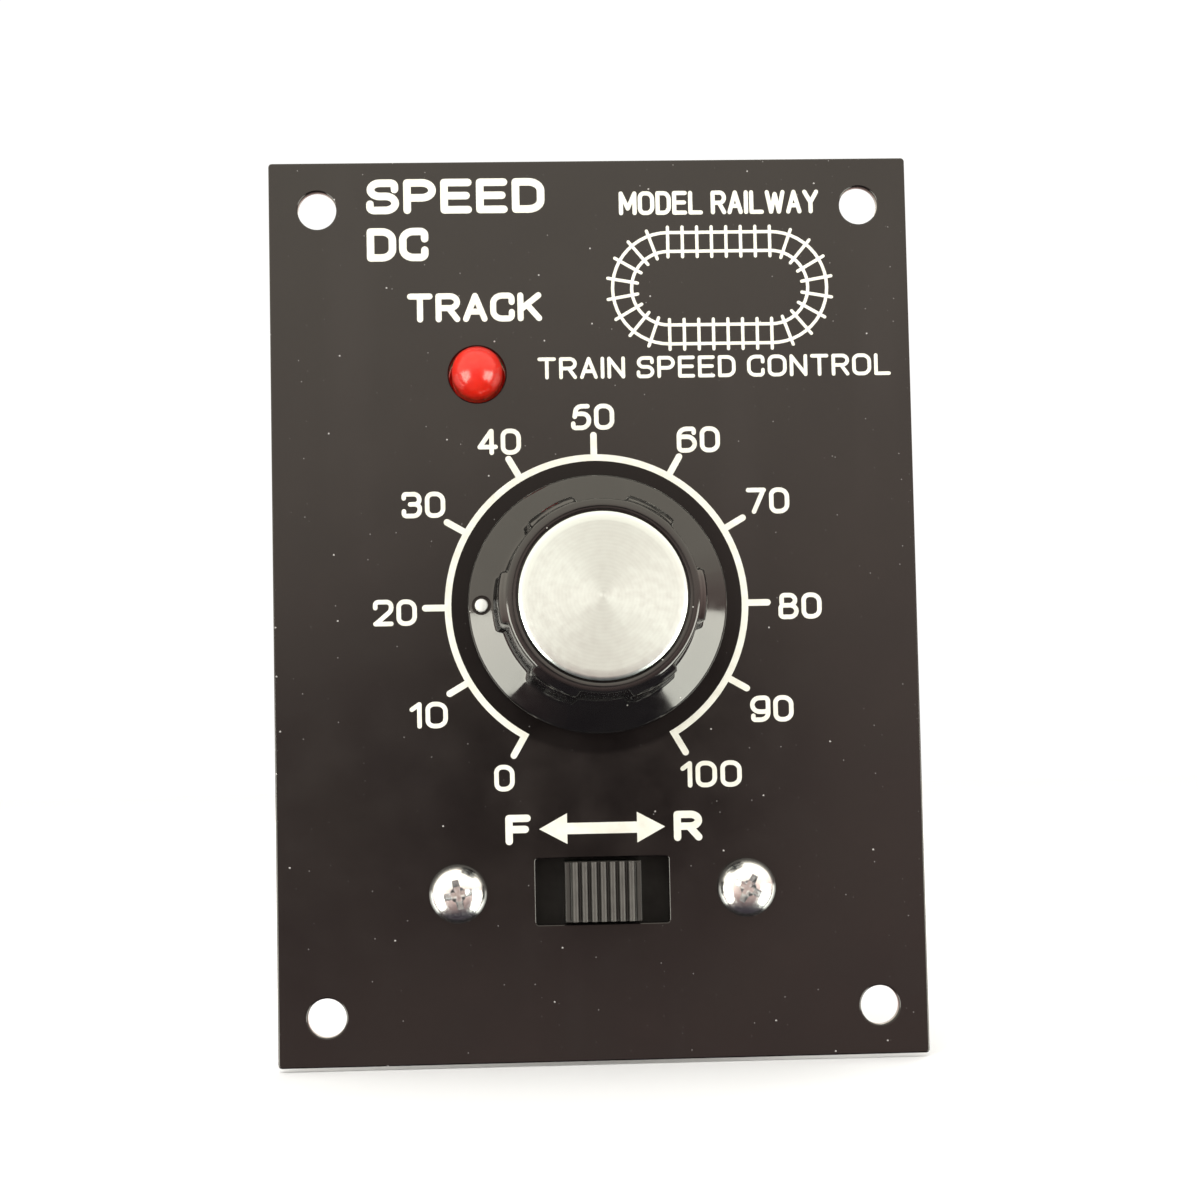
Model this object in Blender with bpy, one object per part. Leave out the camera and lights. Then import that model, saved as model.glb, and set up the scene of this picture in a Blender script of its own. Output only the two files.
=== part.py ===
"""Panel-mounted speed controller for a model railway, as an assembly of separate solids.

Frame: metres, +X to the right as seen from the front, +Y into the control panel, +Z up.
The origin is the centre of the front panel's back face, on the speed knob's axis, so the
knob, lamp and switch stand at negative Y and the electronics at positive Y.
"""

import math

import bmesh
import bpy

MM = 0.001
GAP = 0.3 * MM  # clearance left between neighbouring solids

# front panel: a 2.5 by 3.5 inch sheet with its fixing holes 2 1/8 by 3 1/8 inches apart
PANEL_WIDTH = 63.5 * MM
PANEL_HEIGHT = 88.9 * MM
PANEL_THICKNESS = 1.2 * MM
FRONT = -PANEL_THICKNESS
FIXING_SPACING_X = 53.975 * MM
FIXING_SPACING_Z = 79.375 * MM
FIXING_HOLE_RADIUS = 1.9 * MM
BORDER = 7.4 * MM  # strip of the back face that rests on the control panel

# speed knob; heights are measured forward from the panel's front face
KNOB_RADIUS = 12.7 * MM
KNOB_HEIGHT = 14.2 * MM
KNOB_CLEARANCE = 0.8 * MM
BARREL_RADIUS = 9.3 * MM
RIB_RISE = 0.65 * MM
RIB_COUNT = 6
RIB_HALF_ANGLE = math.radians(15)
RIB_FLANK_ANGLE = math.radians(2)
CAP_RADIUS = 7.9 * MM
CAP_THICKNESS = 0.8 * MM
DOT_RADIUS = 0.65 * MM
DOT_DISTANCE = 11.35 * MM
DOT_HEIGHT = 3.1 * MM
INSERT_RADIUS = 5.0 * MM
INSERT_BASE = 4.8 * MM
INSERT_TOP = 11.2 * MM
GRUB_RADIUS = 1.5 * MM
GRUB_HEIGHT = 8.4 * MM
GRUB_ANGLE = math.radians(30)

# potentiometer
SHAFT_RADIUS = 3.175 * MM
SHAFT_TIP = 10.9 * MM
SHAFT_END_Y = 9.3 * MM
SHAFT_BORE_RADIUS = SHAFT_RADIUS + GAP
BUSH_RADIUS = 4.6 * MM
BUSH_TIP = 4.2 * MM
BUSH_HOLE_RADIUS = 5.0 * MM
POT_RADIUS = 11.75 * MM
POT_PLATE_THICKNESS = 1.5 * MM
WAFER_Y = GAP + POT_PLATE_THICKNESS + GAP
WAFER_THICKNESS = 1.3 * MM
CAN_Y = WAFER_Y + WAFER_THICKNESS + GAP
CAN_END_Y = 10.5 * MM
CAN_WALL = 0.6 * MM
TRACK_INNER = 7.2 * MM
TRACK_OUTER = 9.2 * MM
TRACK_SWEEP = math.radians(300)
TRACK_THICKNESS = 0.25 * MM
ROTOR_Y = 5.4 * MM
ROTOR_END_Y = 8.4 * MM
STOP_HALF_ANGLE = math.radians(14)
FINGER_HALF_ANGLE = math.radians(13)
LUG_PITCH = 5.0 * MM

# track lamp
LAMP_X = -11.4 * MM
LAMP_Z = 23.1 * MM
LAMP_RADIUS = 2.5 * MM
LAMP_HEIGHT = 4.0 * MM
LAMP_FLANGE_Y = 2.4 * MM
LAMP_LEAD_SPACING = 2.54 * MM

# direction switch
SWITCH_Z = -27.95 * MM
SLOT_LENGTH = 13.0 * MM
SLOT_HEIGHT = 6.4 * MM
SCREW_SPACING = 28.2 * MM
SLIDER_LENGTH = 7.4 * MM
SLIDER_HEIGHT = 5.8 * MM
SLIDER_RISE = 2.5 * MM
SLIDER_RIBS = 7
SLIDER_RIB_PITCH = 0.91 * MM
CARRIAGE_LENGTH = 16.5 * MM
CARRIAGE_HEIGHT = 10.4 * MM
CARRIAGE_Y = 1.4 * MM
CARRIAGE_END_Y = 4.6 * MM
SWITCH_FRAME_LENGTH = 35.0 * MM
SWITCH_FRAME_HEIGHT = 12.6 * MM
SWITCH_FRAME_SHEET = 0.8 * MM
SWITCH_BODY_LENGTH = 23.0 * MM
SWITCH_BODY_END_Y = 10.0 * MM
SWITCH_BASE_Y = 7.9 * MM
SWITCH_BASE_THICKNESS = 1.6 * MM
CONTACT_PITCH = 4.7 * MM
CONTACT_ROW_Z = 2.9 * MM
LUG_HEAD_HALF_WIDTH = 1.2 * MM
LUG_HEAD_THICKNESS = 0.5 * MM
LUG_HALF_WIDTH = 0.8 * MM
LUG_HALF_SHEET = 0.3 * MM

# cross-recessed pan-head screws
SCREW_RADIUS = 1.45 * MM
SCREW_HEAD_RADIUS = 2.85 * MM
SCREW_HEAD_HEIGHT = 1.9 * MM
SCREW_RECESS_DEPTH = 1.3 * MM
PANEL_SCREW_LENGTH = 5.5 * MM
SINK_SCREW_LENGTH = 6.0 * MM

# circuit board and the parts on its rear side
BOARD_Y = 14.3 * MM
BOARD_THICKNESS = 1.6 * MM
BOARD_HALF_WIDTH = 23.0 * MM
BOARD_BOTTOM_Z = -36.0 * MM
BOARD_TOP_Z = 36.0 * MM
REAR = BOARD_Y + BOARD_THICKNESS + GAP  # parts on the rear side stand on this plane

# terminal block with rising clamps
WAY_COUNT = 4
WAY_PITCH = 5.0 * MM
BLOCK_Z = 26.0 * MM
BLOCK_END_Z = 35.0 * MM
BLOCK_HEIGHT = 11.0 * MM
CHAMBER_WIDTH = 4.0 * MM
CHAMBER_FLOOR = REAR + 1.2 * MM
CHAMBER_TOP = REAR + 7.4 * MM
CHAMBER_Z = BLOCK_Z + 2.0 * MM
CHAMBER_END_Z = BLOCK_Z + 7.0 * MM
WAY_Z = 0.5 * (CHAMBER_Z + CHAMBER_END_Z)
WELL_FLOOR = REAR + 8.2 * MM
TERMINAL_SCREW_RADIUS = 1.25 * MM
TERMINAL_HEAD_RADIUS = 1.75 * MM
TERMINAL_HEAD_HEIGHT = 1.5 * MM
CLAMP_HEIGHT = 3.8 * MM
CLAMP_WALL = 0.45 * MM
CLAMP_TOP_PLATE = 0.9 * MM
CLAMP_TRAVEL = 1.75 * MM  # the rise of the cage from open to closed

# heat sink and power transistor
SINK_X = 12.3 * MM
SINK_BASE = 2.0 * MM
SINK_FIN_LENGTH = 8.0 * MM
SINK_FIN_THICKNESS = 1.2 * MM
SINK_FIN_COUNT = 6
SINK_Z = -15.0 * MM
SINK_END_Z = 13.0 * MM
SINK_HEIGHT = 19.0 * MM
TRANSISTOR_Z = 0.5 * (SINK_Z + SINK_END_Z)
TAB_HOLE_HEIGHT = 16.4 * MM

LEAD_PITCH = 2.54 * MM
LEAD_SPAN = 4 * LEAD_PITCH  # between the bent leads of a part that lies on the board

ROUND = 32  # sides of a large round part
SMALL_ROUND = 16  # sides of a small one
SMOOTH_ANGLE = math.radians(35)


# ---------------------------------------------------------------- materials

def material(name, colour, roughness, metallic=0.0):
    """A Principled material, made once for each name."""
    found = bpy.data.materials.get(name)
    if found:
        return found
    made = bpy.data.materials.new(name)
    made.use_nodes = True
    shader = made.node_tree.nodes["Principled BSDF"]
    shader.inputs["Base Color"].default_value = (*colour, 1.0)
    shader.inputs["Roughness"].default_value = roughness
    shader.inputs["Metallic"].default_value = metallic
    made.diffuse_color = (*colour, 1.0)
    return made


def black_enamel():
    return material("black_enamel", (0.012, 0.010, 0.010), 0.18)


def black_plastic():
    return material("black_plastic", (0.010, 0.010, 0.011), 0.15)


def ribbed_plastic():
    return material("ribbed_plastic", (0.035, 0.033, 0.030), 0.35)


def spun_aluminium():
    return material("spun_aluminium", (0.86, 0.86, 0.83), 0.3, 1.0)


def white_paint():
    return material("white_paint", (0.85, 0.85, 0.80), 0.4)


def red_lens():
    return material("red_lens", (0.80, 0.03, 0.015), 0.12)


def bright_zinc():
    return material("bright_zinc", (0.80, 0.80, 0.80), 0.25, 1.0)


def brass():
    return material("brass", (0.72, 0.55, 0.25), 0.35, 1.0)


def tinned_metal():
    return material("tinned_metal", (0.70, 0.70, 0.68), 0.35, 1.0)


def laminate():
    return material("brown_laminate", (0.20, 0.10, 0.04), 0.6)


def board_laminate():
    return material("green_board", (0.03, 0.16, 0.06), 0.4)


def carbon_film():
    return material("carbon_film", (0.02, 0.02, 0.02), 0.5)


def moulded_epoxy():
    return material("moulded_epoxy", (0.02, 0.02, 0.022), 0.55)


def finned_aluminium():
    return material("black_anodised", (0.03, 0.03, 0.032), 0.45, 0.6)


def sleeve_blue():
    return material("capacitor_sleeve", (0.02, 0.04, 0.16), 0.35)


def terminal_green():
    return material("terminal_green", (0.02, 0.22, 0.08), 0.45)


def resistor_lacquer():
    return material("resistor_lacquer", (0.60, 0.45, 0.28), 0.5)


def film_red():
    return material("film_capacitor_red", (0.45, 0.06, 0.03), 0.4)


def cutout_yellow():
    return material("cutout_yellow", (0.75, 0.50, 0.04), 0.5)


# ---------------------------------------------------------------- modelling helpers

def add_object(name, bm, finish, location=(0, 0, 0), rotation=(0, 0, 0), parent=None):
    """Make a named object from a bmesh, shaded smooth with its sharp edges kept."""
    bmesh.ops.recalc_face_normals(bm, faces=bm.faces)
    mesh = bpy.data.meshes.new(name)
    bm.to_mesh(mesh)
    bm.free()
    mesh.shade_smooth()
    mesh.set_sharp_from_angle(angle=SMOOTH_ANGLE)
    made = bpy.data.objects.new(name, mesh)
    bpy.context.scene.collection.objects.link(made)
    if finish:
        mesh.materials.append(finish)
    made.location = location
    made.rotation_euler = rotation
    made.parent = parent
    return made


def add_axis(name, location=(0, 0, 0)):
    """An empty on a joint's axis, which carries the pieces that move with the joint."""
    empty = bpy.data.objects.new(name, None)
    empty.location = location
    bpy.context.scene.collection.objects.link(empty)
    return empty


def combine(target, bm, operation, **place):
    """Cut a shape out of the target, or join it on, with a Boolean modifier."""
    order = len(target.modifiers) + 1
    tool = add_object(f"{target.name}_tool_{order}", bm, None, **place)
    tool.parent = target.parent
    tool.hide_render = True
    tool.display_type = "WIRE"
    boolean = target.modifiers.new(f"{operation.lower()}_{order}", "BOOLEAN")
    boolean.operation = operation
    boolean.solver = "EXACT"
    boolean.object = tool


def cut(target, bm, **place):
    combine(target, bm, "DIFFERENCE", **place)


def join(target, bm, **place):
    combine(target, bm, "UNION", **place)


def add_box(bm, low, high):
    """Add a closed box between two corners."""
    made = bmesh.ops.create_cube(bm, size=1.0)
    size = [b - a for a, b in zip(low, high)]
    centre = [0.5 * (a + b) for a, b in zip(low, high)]
    bmesh.ops.scale(bm, verts=made["verts"], vec=size)
    bmesh.ops.translate(bm, verts=made["verts"], vec=centre)
    return made["verts"]


def box(low, high):
    bm = bmesh.new()
    add_box(bm, low, high)
    return bm


def bevelled_box(low, high, width, segments=1):
    bm = box(low, high)
    bmesh.ops.bevel(bm, geom=bm.edges[:], offset=width, segments=segments, affect="EDGES")
    return bm


def turned(profile, sides, hollow=False):
    """Spin a profile of (radius, y) points about Y; a hollow one is a closed loop."""
    bm = bmesh.new()
    verts = [bm.verts.new((radius, y, 0)) for radius, y in profile]
    edges = [bm.edges.new(pair) for pair in zip(verts, verts[1:])]
    if hollow:
        edges.append(bm.edges.new((verts[-1], verts[0])))
    bmesh.ops.spin(
        bm, geom=verts + edges, cent=(0, 0, 0), axis=(0, 1, 0),
        angle=2 * math.pi, steps=sides, use_merge=True,
    )
    bmesh.ops.remove_doubles(bm, verts=bm.verts, dist=0.001 * MM)
    return bm


def add_extrusion(bm, points, direction):
    """Add a closed solid: a flat outline extruded along a vector."""
    face = bm.faces.new([bm.verts.new(point) for point in points])
    made = bmesh.ops.extrude_face_region(bm, geom=[face])
    moved = [item for item in made["geom"] if isinstance(item, bmesh.types.BMVert)]
    bmesh.ops.translate(bm, verts=moved, vec=direction)
    return moved


def along_x(outline, half_width):
    """Extrude an outline of (y, z) points to both sides of X = 0."""
    bm = bmesh.new()
    points = [(-half_width, y, z) for y, z in outline]
    add_extrusion(bm, points, (2 * half_width, 0, 0))
    return bm


def along_z(outline, half_width):
    """Extrude an outline of (x, y) points to both sides of Z = 0."""
    bm = bmesh.new()
    points = [(x, y, -half_width) for x, y in outline]
    add_extrusion(bm, points, (0, 0, 2 * half_width))
    return bm


def add_prism(bm, outline, low_y, high_y):
    """Extrude a closed outline of (x, z) points along Y."""
    points = [(x, low_y, z) for x, z in outline]
    return add_extrusion(bm, points, (0, high_y - low_y, 0))


def prism(outline, low_y, high_y):
    bm = bmesh.new()
    add_prism(bm, outline, low_y, high_y)
    return bm


def add_rod(bm, radius, low_y, high_y, x=0.0, z=0.0, sides=SMALL_ROUND):
    add_prism(bm, arc(radius, 0, 2 * math.pi, sides, x, z)[:-1], low_y, high_y)


def rod(radius, low_y, high_y, sides=SMALL_ROUND):
    bm = bmesh.new()
    add_rod(bm, radius, low_y, high_y, sides=sides)
    return bm


def arc(radius, start, end, steps, x=0.0, z=0.0):
    """Points on an arc in the XZ plane, by angle from +X towards +Z."""
    turn = (end - start) / steps
    return [
        (x + radius * math.cos(start + i * turn), z + radius * math.sin(start + i * turn))
        for i in range(steps + 1)
    ]


def sector(inner, outer, centre_angle, half_angle, steps):
    """The outline of a piece of a ring."""
    low = centre_angle - half_angle
    high = centre_angle + half_angle
    return arc(outer, low, high, steps) + arc(inner, high, low, steps)


def rectangle(half_x, half_z, x=0.0, z=0.0):
    return [
        (x - half_x, z - half_z), (x + half_x, z - half_z),
        (x + half_x, z + half_z), (x - half_x, z + half_z),
    ]


def hexagon(across_flats):
    radius = across_flats / math.sqrt(3)
    return arc(radius, 0, 2 * math.pi, 6)[:-1]


def plus_shape(arm, half_width):
    """The outline of a cross."""
    quarter = [(arm, -half_width), (arm, half_width), (half_width, half_width)]
    points = []
    for turn in range(4):
        cosine = round(math.cos(turn * math.pi / 2))
        sine = round(math.sin(turn * math.pi / 2))
        points += [(x * cosine - z * sine, x * sine + z * cosine) for x, z in quarter]
    return points


def forward(height):
    """The Y of a height in front of the panel's front face."""
    return FRONT - height


# ---------------------------------------------------------------- front panel

def make_front_panel():
    half_x = 0.5 * PANEL_WIDTH
    half_z = 0.5 * PANEL_HEIGHT
    bm = box((-half_x, FRONT, -half_z), (half_x, 0, half_z))
    back = max(bm.faces, key=lambda face: face.calc_center_median().y)
    bmesh.ops.inset_individual(bm, faces=[back], thickness=BORDER)
    panel = add_object("front_panel", bm, black_enamel())

    holes = bmesh.new()
    low = FRONT - MM
    high = MM
    for x in (-0.5 * FIXING_SPACING_X, 0.5 * FIXING_SPACING_X):
        for z in (-0.5 * FIXING_SPACING_Z, 0.5 * FIXING_SPACING_Z):
            add_rod(holes, FIXING_HOLE_RADIUS, low, high, x, z, sides=24)
    for x in (-0.5 * SCREW_SPACING, 0.5 * SCREW_SPACING):
        add_rod(holes, SCREW_RADIUS + GAP, low, high, x, SWITCH_Z)
    add_rod(holes, BUSH_HOLE_RADIUS, low, high, sides=ROUND)
    add_rod(holes, LAMP_RADIUS + GAP, low, high, LAMP_X, LAMP_Z, sides=24)
    slot = rectangle(0.5 * SLOT_LENGTH, 0.5 * SLOT_HEIGHT, 0, SWITCH_Z)
    add_prism(holes, slot, low, high)
    cut(panel, holes)


# ---------------------------------------------------------------- speed knob

def rib_stations():
    """The angles round the barrel, each with its share of the ribs' rise."""
    pitch = 2 * math.pi / RIB_COUNT
    edge = RIB_HALF_ANGLE
    foot = RIB_HALF_ANGLE + RIB_FLANK_ANGLE
    hollow = pitch - 2 * foot
    stations = []
    for rib in range(RIB_COUNT):
        centre = rib * pitch
        stations += [(centre - edge, 1), (centre, 1), (centre + edge, 1)]
        stations += [(centre + foot + hollow * i / 4, 0) for i in range(5)]
    return stations


def make_knob_body(parent):
    """A skirted barrel with six wide finger ribs, hollow under the skirt."""
    floor = KNOB_HEIGHT - CAP_THICKNESS - GAP
    recess = CAP_RADIUS + GAP
    ceiling = INSERT_TOP + GAP
    bore = INSERT_RADIUS + GAP
    # (radius, height, share of the rib rise at this height)
    profile = [
        (0, floor, 0),
        (recess, floor, 0),
        (recess, 13.9 * MM, 0),
        (8.7 * MM, 13.8 * MM, 0),
        (9.1 * MM, 13.3 * MM, 0),
        (BARREL_RADIUS - 0.1 * MM, 12.7 * MM, 1),
        (BARREL_RADIUS, 4.6 * MM, 1),
        (9.9 * MM, 3.75 * MM, 0.5),
        (10.8 * MM, 3.3 * MM, 0),
        (12.0 * MM, 2.75 * MM, 0),
        (12.5 * MM, 2.35 * MM, 0),
        (KNOB_RADIUS, 1.8 * MM, 0),
        (KNOB_RADIUS - 0.1 * MM, KNOB_CLEARANCE, 0),
        (11.5 * MM, KNOB_CLEARANCE, 0),
        (11.2 * MM, 1.7 * MM, 0),
        (7.8 * MM, 2.3 * MM, 0),
        (7.8 * MM, INSERT_BASE, 0),
        (bore, INSERT_BASE, 0),
        (bore, ceiling, 0),
        (0, ceiling, 0),
    ]
    bm = bmesh.new()
    rings = []
    for radius, height, share in profile:
        y = forward(height)
        if radius == 0:
            rings.append([bm.verts.new((0, y, 0))])
            continue
        ring = []
        for angle, rib in rib_stations():
            reach = radius + share * rib * RIB_RISE
            ring.append(bm.verts.new((reach * math.cos(angle), y, reach * math.sin(angle))))
        rings.append(ring)
    count = len(rib_stations())
    for upper, lower in zip(rings, rings[1:]):
        for i in range(count):
            j = (i + 1) % count
            corners = [upper[i % len(upper)], upper[j % len(upper)]]
            corners += [lower[j % len(lower)], lower[i % len(lower)]]
            bm.faces.new(list(dict.fromkeys(corners)))
    knob = add_object("knob_body", bm, black_plastic(), parent=parent)

    dimple = bmesh.new()
    add_rod(dimple, DOT_RADIUS + GAP, forward(4 * MM), forward(2.1 * MM), -DOT_DISTANCE, 0)
    cut(knob, dimple)
    access = rod(GRUB_RADIUS + GAP, 3 * MM, 12 * MM)
    cut(knob, access, location=(0, forward(GRUB_HEIGHT), 0), rotation=grub_rotation())


def grub_rotation():
    """Turns local Y to the grub screw's direction, outward from the knob's axis."""
    return (0, -GRUB_ANGLE, -0.5 * math.pi)


def make_knob_cap(parent):
    top = forward(KNOB_HEIGHT)
    low = forward(KNOB_HEIGHT - CAP_THICKNESS)
    chamfer = 0.2 * MM
    profile = [
        (0, top),
        (CAP_RADIUS - chamfer, top),
        (CAP_RADIUS, top + chamfer),
        (CAP_RADIUS, low),
        (0, low),
    ]
    add_object("knob_cap", turned(profile, 48), spun_aluminium(), parent=parent)


def make_knob_dot(parent):
    dot = rod(DOT_RADIUS, forward(DOT_HEIGHT), forward(DOT_HEIGHT - 0.7 * MM))
    add_object("knob_pointer_dot", dot, white_paint(), (-DOT_DISTANCE, 0, 0), parent=parent)


def make_knob_insert(parent):
    low = forward(INSERT_BASE)
    high = forward(INSERT_TOP)
    profile = [
        (SHAFT_BORE_RADIUS, low),
        (INSERT_RADIUS, low),
        (INSERT_RADIUS, high),
        (SHAFT_BORE_RADIUS, high),
    ]
    insert = add_object("knob_insert", turned(profile, 24, True), brass(), parent=parent)
    hole = rod(GRUB_RADIUS + GAP, MM, 7 * MM)
    cut(insert, hole, location=(0, forward(GRUB_HEIGHT), 0), rotation=grub_rotation())


def make_knob_grub_screw(parent):
    start = SHAFT_BORE_RADIUS
    end = 8.0 * MM
    point = 0.8 * MM
    profile = [(0, start), (point, start), (GRUB_RADIUS, start + point), (GRUB_RADIUS, end), (0, end)]
    screw = add_object(
        "knob_grub_screw", turned(profile, SMALL_ROUND), bright_zinc(),
        (0, forward(GRUB_HEIGHT), 0), grub_rotation(), parent,
    )
    slot = box((-2 * MM, end - MM, -0.25 * MM), (2 * MM, end + MM, 0.25 * MM))
    cut(screw, slot, location=(0, forward(GRUB_HEIGHT), 0), rotation=grub_rotation())


# ---------------------------------------------------------------- potentiometer

def make_pot_shaft(parent):
    tip = forward(SHAFT_TIP)
    chamfer = 0.4 * MM
    profile = [
        (0, tip),
        (SHAFT_RADIUS - chamfer, tip),
        (SHAFT_RADIUS, tip + chamfer),
        (SHAFT_RADIUS, SHAFT_END_Y),
        (0, SHAFT_END_Y),
    ]
    add_object("pot_shaft", turned(profile, 24), tinned_metal(), parent=parent)


def make_pot_rotor(parent):
    """The moulded rotor on the shaft, with the stop finger that limits its turn."""
    outer = 5.0 * MM
    profile = [
        (SHAFT_BORE_RADIUS, ROTOR_Y),
        (outer, ROTOR_Y),
        (outer, ROTOR_END_Y),
        (SHAFT_BORE_RADIUS, ROTOR_END_Y),
    ]
    rotor = add_object("pot_rotor", turned(profile, 24, True), carbon_film(), parent=parent)
    finger = sector(4.2 * MM, 9.0 * MM, math.pi, FINGER_HALF_ANGLE, 3)
    join(rotor, prism(finger, ROTOR_Y + 0.6 * MM, ROTOR_END_Y - 0.6 * MM))


def make_pot_wiper(parent):
    """A springy contact strip that follows the resistive track under the finger."""
    middle = 0.5 * (TRACK_INNER + TRACK_OUTER)
    near = CAN_Y + TRACK_THICKNESS + GAP
    strip = 0.35 * MM
    half_width = 1.1 * MM
    side = [
        (-5.3 * MM, ROTOR_Y - GAP - strip),
        (-5.3 * MM, ROTOR_Y - GAP),
        (-middle - 0.9 * MM, near + strip),
        (-middle - 0.9 * MM, near),
        (-middle + 0.2 * MM, near),
    ]
    bm = along_z(side, half_width)
    add_object("pot_wiper", bm, brass(), parent=parent)


def make_pot_bush():
    """The cast plate and its threaded bush, which passes through the panel."""
    plate_end = GAP + POT_PLATE_THICKNESS
    tip = forward(BUSH_TIP)
    profile = [
        (SHAFT_BORE_RADIUS, tip),
        (BUSH_RADIUS - 0.3 * MM, tip),
        (BUSH_RADIUS, tip + 0.3 * MM),
        (BUSH_RADIUS, GAP),
        (POT_RADIUS, GAP),
        (POT_RADIUS, plate_end),
        (SHAFT_BORE_RADIUS, plate_end),
    ]
    add_object("pot_bush", turned(profile, ROUND, True), tinned_metal())


def make_pot_washer():
    low = forward(GAP)
    high = forward(0.9 * MM)
    inner = BUSH_RADIUS + GAP
    outer = 6.9 * MM
    profile = [(inner, low), (outer, low), (outer, high), (inner, high)]
    add_object("pot_washer", turned(profile, ROUND, True), bright_zinc())


def make_pot_nut():
    low = forward(1.2 * MM)
    high = forward(3.4 * MM)
    nut = add_object("pot_nut", prism(hexagon(12 * MM), high, low), bright_zinc())
    cut(nut, rod(BUSH_RADIUS + GAP, high - MM, low + MM, sides=24))


def make_pot_wafer():
    """The laminate disc that carries the track, with a tongue for the lugs."""
    end = WAFER_Y + WAFER_THICKNESS
    tongue = rectangle(7.2 * MM, 4.0 * MM, 0, -12.6 * MM)
    inner = 5.6 * MM
    profile = [(inner, WAFER_Y), (POT_RADIUS, WAFER_Y), (POT_RADIUS, end), (inner, end)]
    wafer = add_object("pot_wafer", turned(profile, ROUND, True), laminate())
    join(wafer, prism(tongue, WAFER_Y, end))


def make_pot_track():
    outline = sector(TRACK_INNER, TRACK_OUTER, 0.5 * math.pi, 0.5 * TRACK_SWEEP, 24)
    add_object("pot_track", prism(outline, CAN_Y, CAN_Y + TRACK_THICKNESS), carbon_film())


def make_pot_can():
    """The pressed steel can, with the stop peg that meets the rotor's finger."""
    inner = POT_RADIUS - CAN_WALL
    floor = CAN_END_Y - CAN_WALL
    profile = [
        (0, CAN_END_Y),
        (POT_RADIUS - 0.4 * MM, CAN_END_Y),
        (POT_RADIUS, CAN_END_Y - 0.4 * MM),
        (POT_RADIUS, CAN_Y),
        (inner, CAN_Y),
        (inner, floor),
        (0, floor),
    ]
    can = add_object("pot_can", turned(profile, ROUND), tinned_metal())
    peg = sector(6.2 * MM, 9.4 * MM, -0.5 * math.pi, STOP_HALF_ANGLE, 3)
    join(can, prism(peg, ROTOR_Y + 0.3 * MM, floor + 0.3 * MM))


def make_pot_lugs():
    """Three bent lugs, from the wafer's tongue back to the circuit board."""
    riveted = WAFER_Y + WAFER_THICKNESS + GAP
    sheet = 0.5 * MM
    half_width = 0.9 * MM
    turn_z = -17.4 * MM
    side = [
        (riveted, -13.4 * MM),
        (riveted, turn_z),
        (BOARD_Y - GAP, turn_z),
        (BOARD_Y - GAP, turn_z + sheet),
        (riveted + sheet, turn_z + sheet),
        (riveted + sheet, -13.4 * MM),
    ]
    for number in range(3):
        centre = (number - 1) * LUG_PITCH
        bm = along_x(side, half_width)
        add_object(f"pot_lug_{number + 1}", bm, tinned_metal(), (centre, 0, 0))


# ---------------------------------------------------------------- track lamp

def make_lamp():
    """A 5 mm indicator lamp: domed lens with a flange, and two leads."""
    tip = forward(LAMP_HEIGHT)
    centre = tip + LAMP_RADIUS
    dome_steps = 6
    profile = []
    for i in range(dome_steps + 1):
        angle = 0.5 * math.pi * i / dome_steps
        profile.append((LAMP_RADIUS * math.sin(angle), centre - LAMP_RADIUS * math.cos(angle)))
    flange = LAMP_RADIUS + 0.4 * MM
    flange_end = LAMP_FLANGE_Y + MM
    profile += [
        (LAMP_RADIUS, LAMP_FLANGE_Y),
        (flange, LAMP_FLANGE_Y),
        (flange, flange_end),
        (0, flange_end),
    ]
    place = (LAMP_X, 0, LAMP_Z)
    add_object("lamp_lens", turned(profile, 24), red_lens(), place)

    half = 0.25 * MM
    start = flange_end + GAP
    end = BOARD_Y - GAP
    for name, side in (("lamp_lead_anode", -1), ("lamp_lead_cathode", 1)):
        x = side * 0.5 * LAMP_LEAD_SPACING
        lead = box((x - half, start, -half), (x + half, end, half))
        add_object(name, lead, tinned_metal(), place)


# ---------------------------------------------------------------- direction switch

def pan_screw(name, length, location, rotation=(0, 0, 0)):
    """A cross-recessed pan-head screw along local Y, its head's underside at zero."""
    profile = [
        (0, -SCREW_HEAD_HEIGHT),
        (1.3 * MM, -SCREW_HEAD_HEIGHT + 0.08 * MM),
        (2.2 * MM, -SCREW_HEAD_HEIGHT + 0.45 * MM),
        (2.7 * MM, -SCREW_HEAD_HEIGHT + 1.05 * MM),
        (SCREW_HEAD_RADIUS, -0.25 * MM),
        (SCREW_HEAD_RADIUS - 0.1 * MM, 0),
        (SCREW_RADIUS, 0),
        (SCREW_RADIUS, length - 0.4 * MM),
        (SCREW_RADIUS - 0.4 * MM, length),
        (0, length),
    ]
    screw = add_object(name, turned(profile, 24), bright_zinc(), location, rotation)
    recess = bmesh.new()
    outline = plus_shape(1.55 * MM, 0.4 * MM)
    top = -SCREW_HEAD_HEIGHT - 0.4 * MM
    deep = add_prism(recess, outline, top, -SCREW_HEAD_HEIGHT + SCREW_RECESS_DEPTH)
    bmesh.ops.scale(recess, verts=deep, vec=(0.35, 1, 0.35))
    cut(screw, recess, location=location, rotation=rotation)


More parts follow.
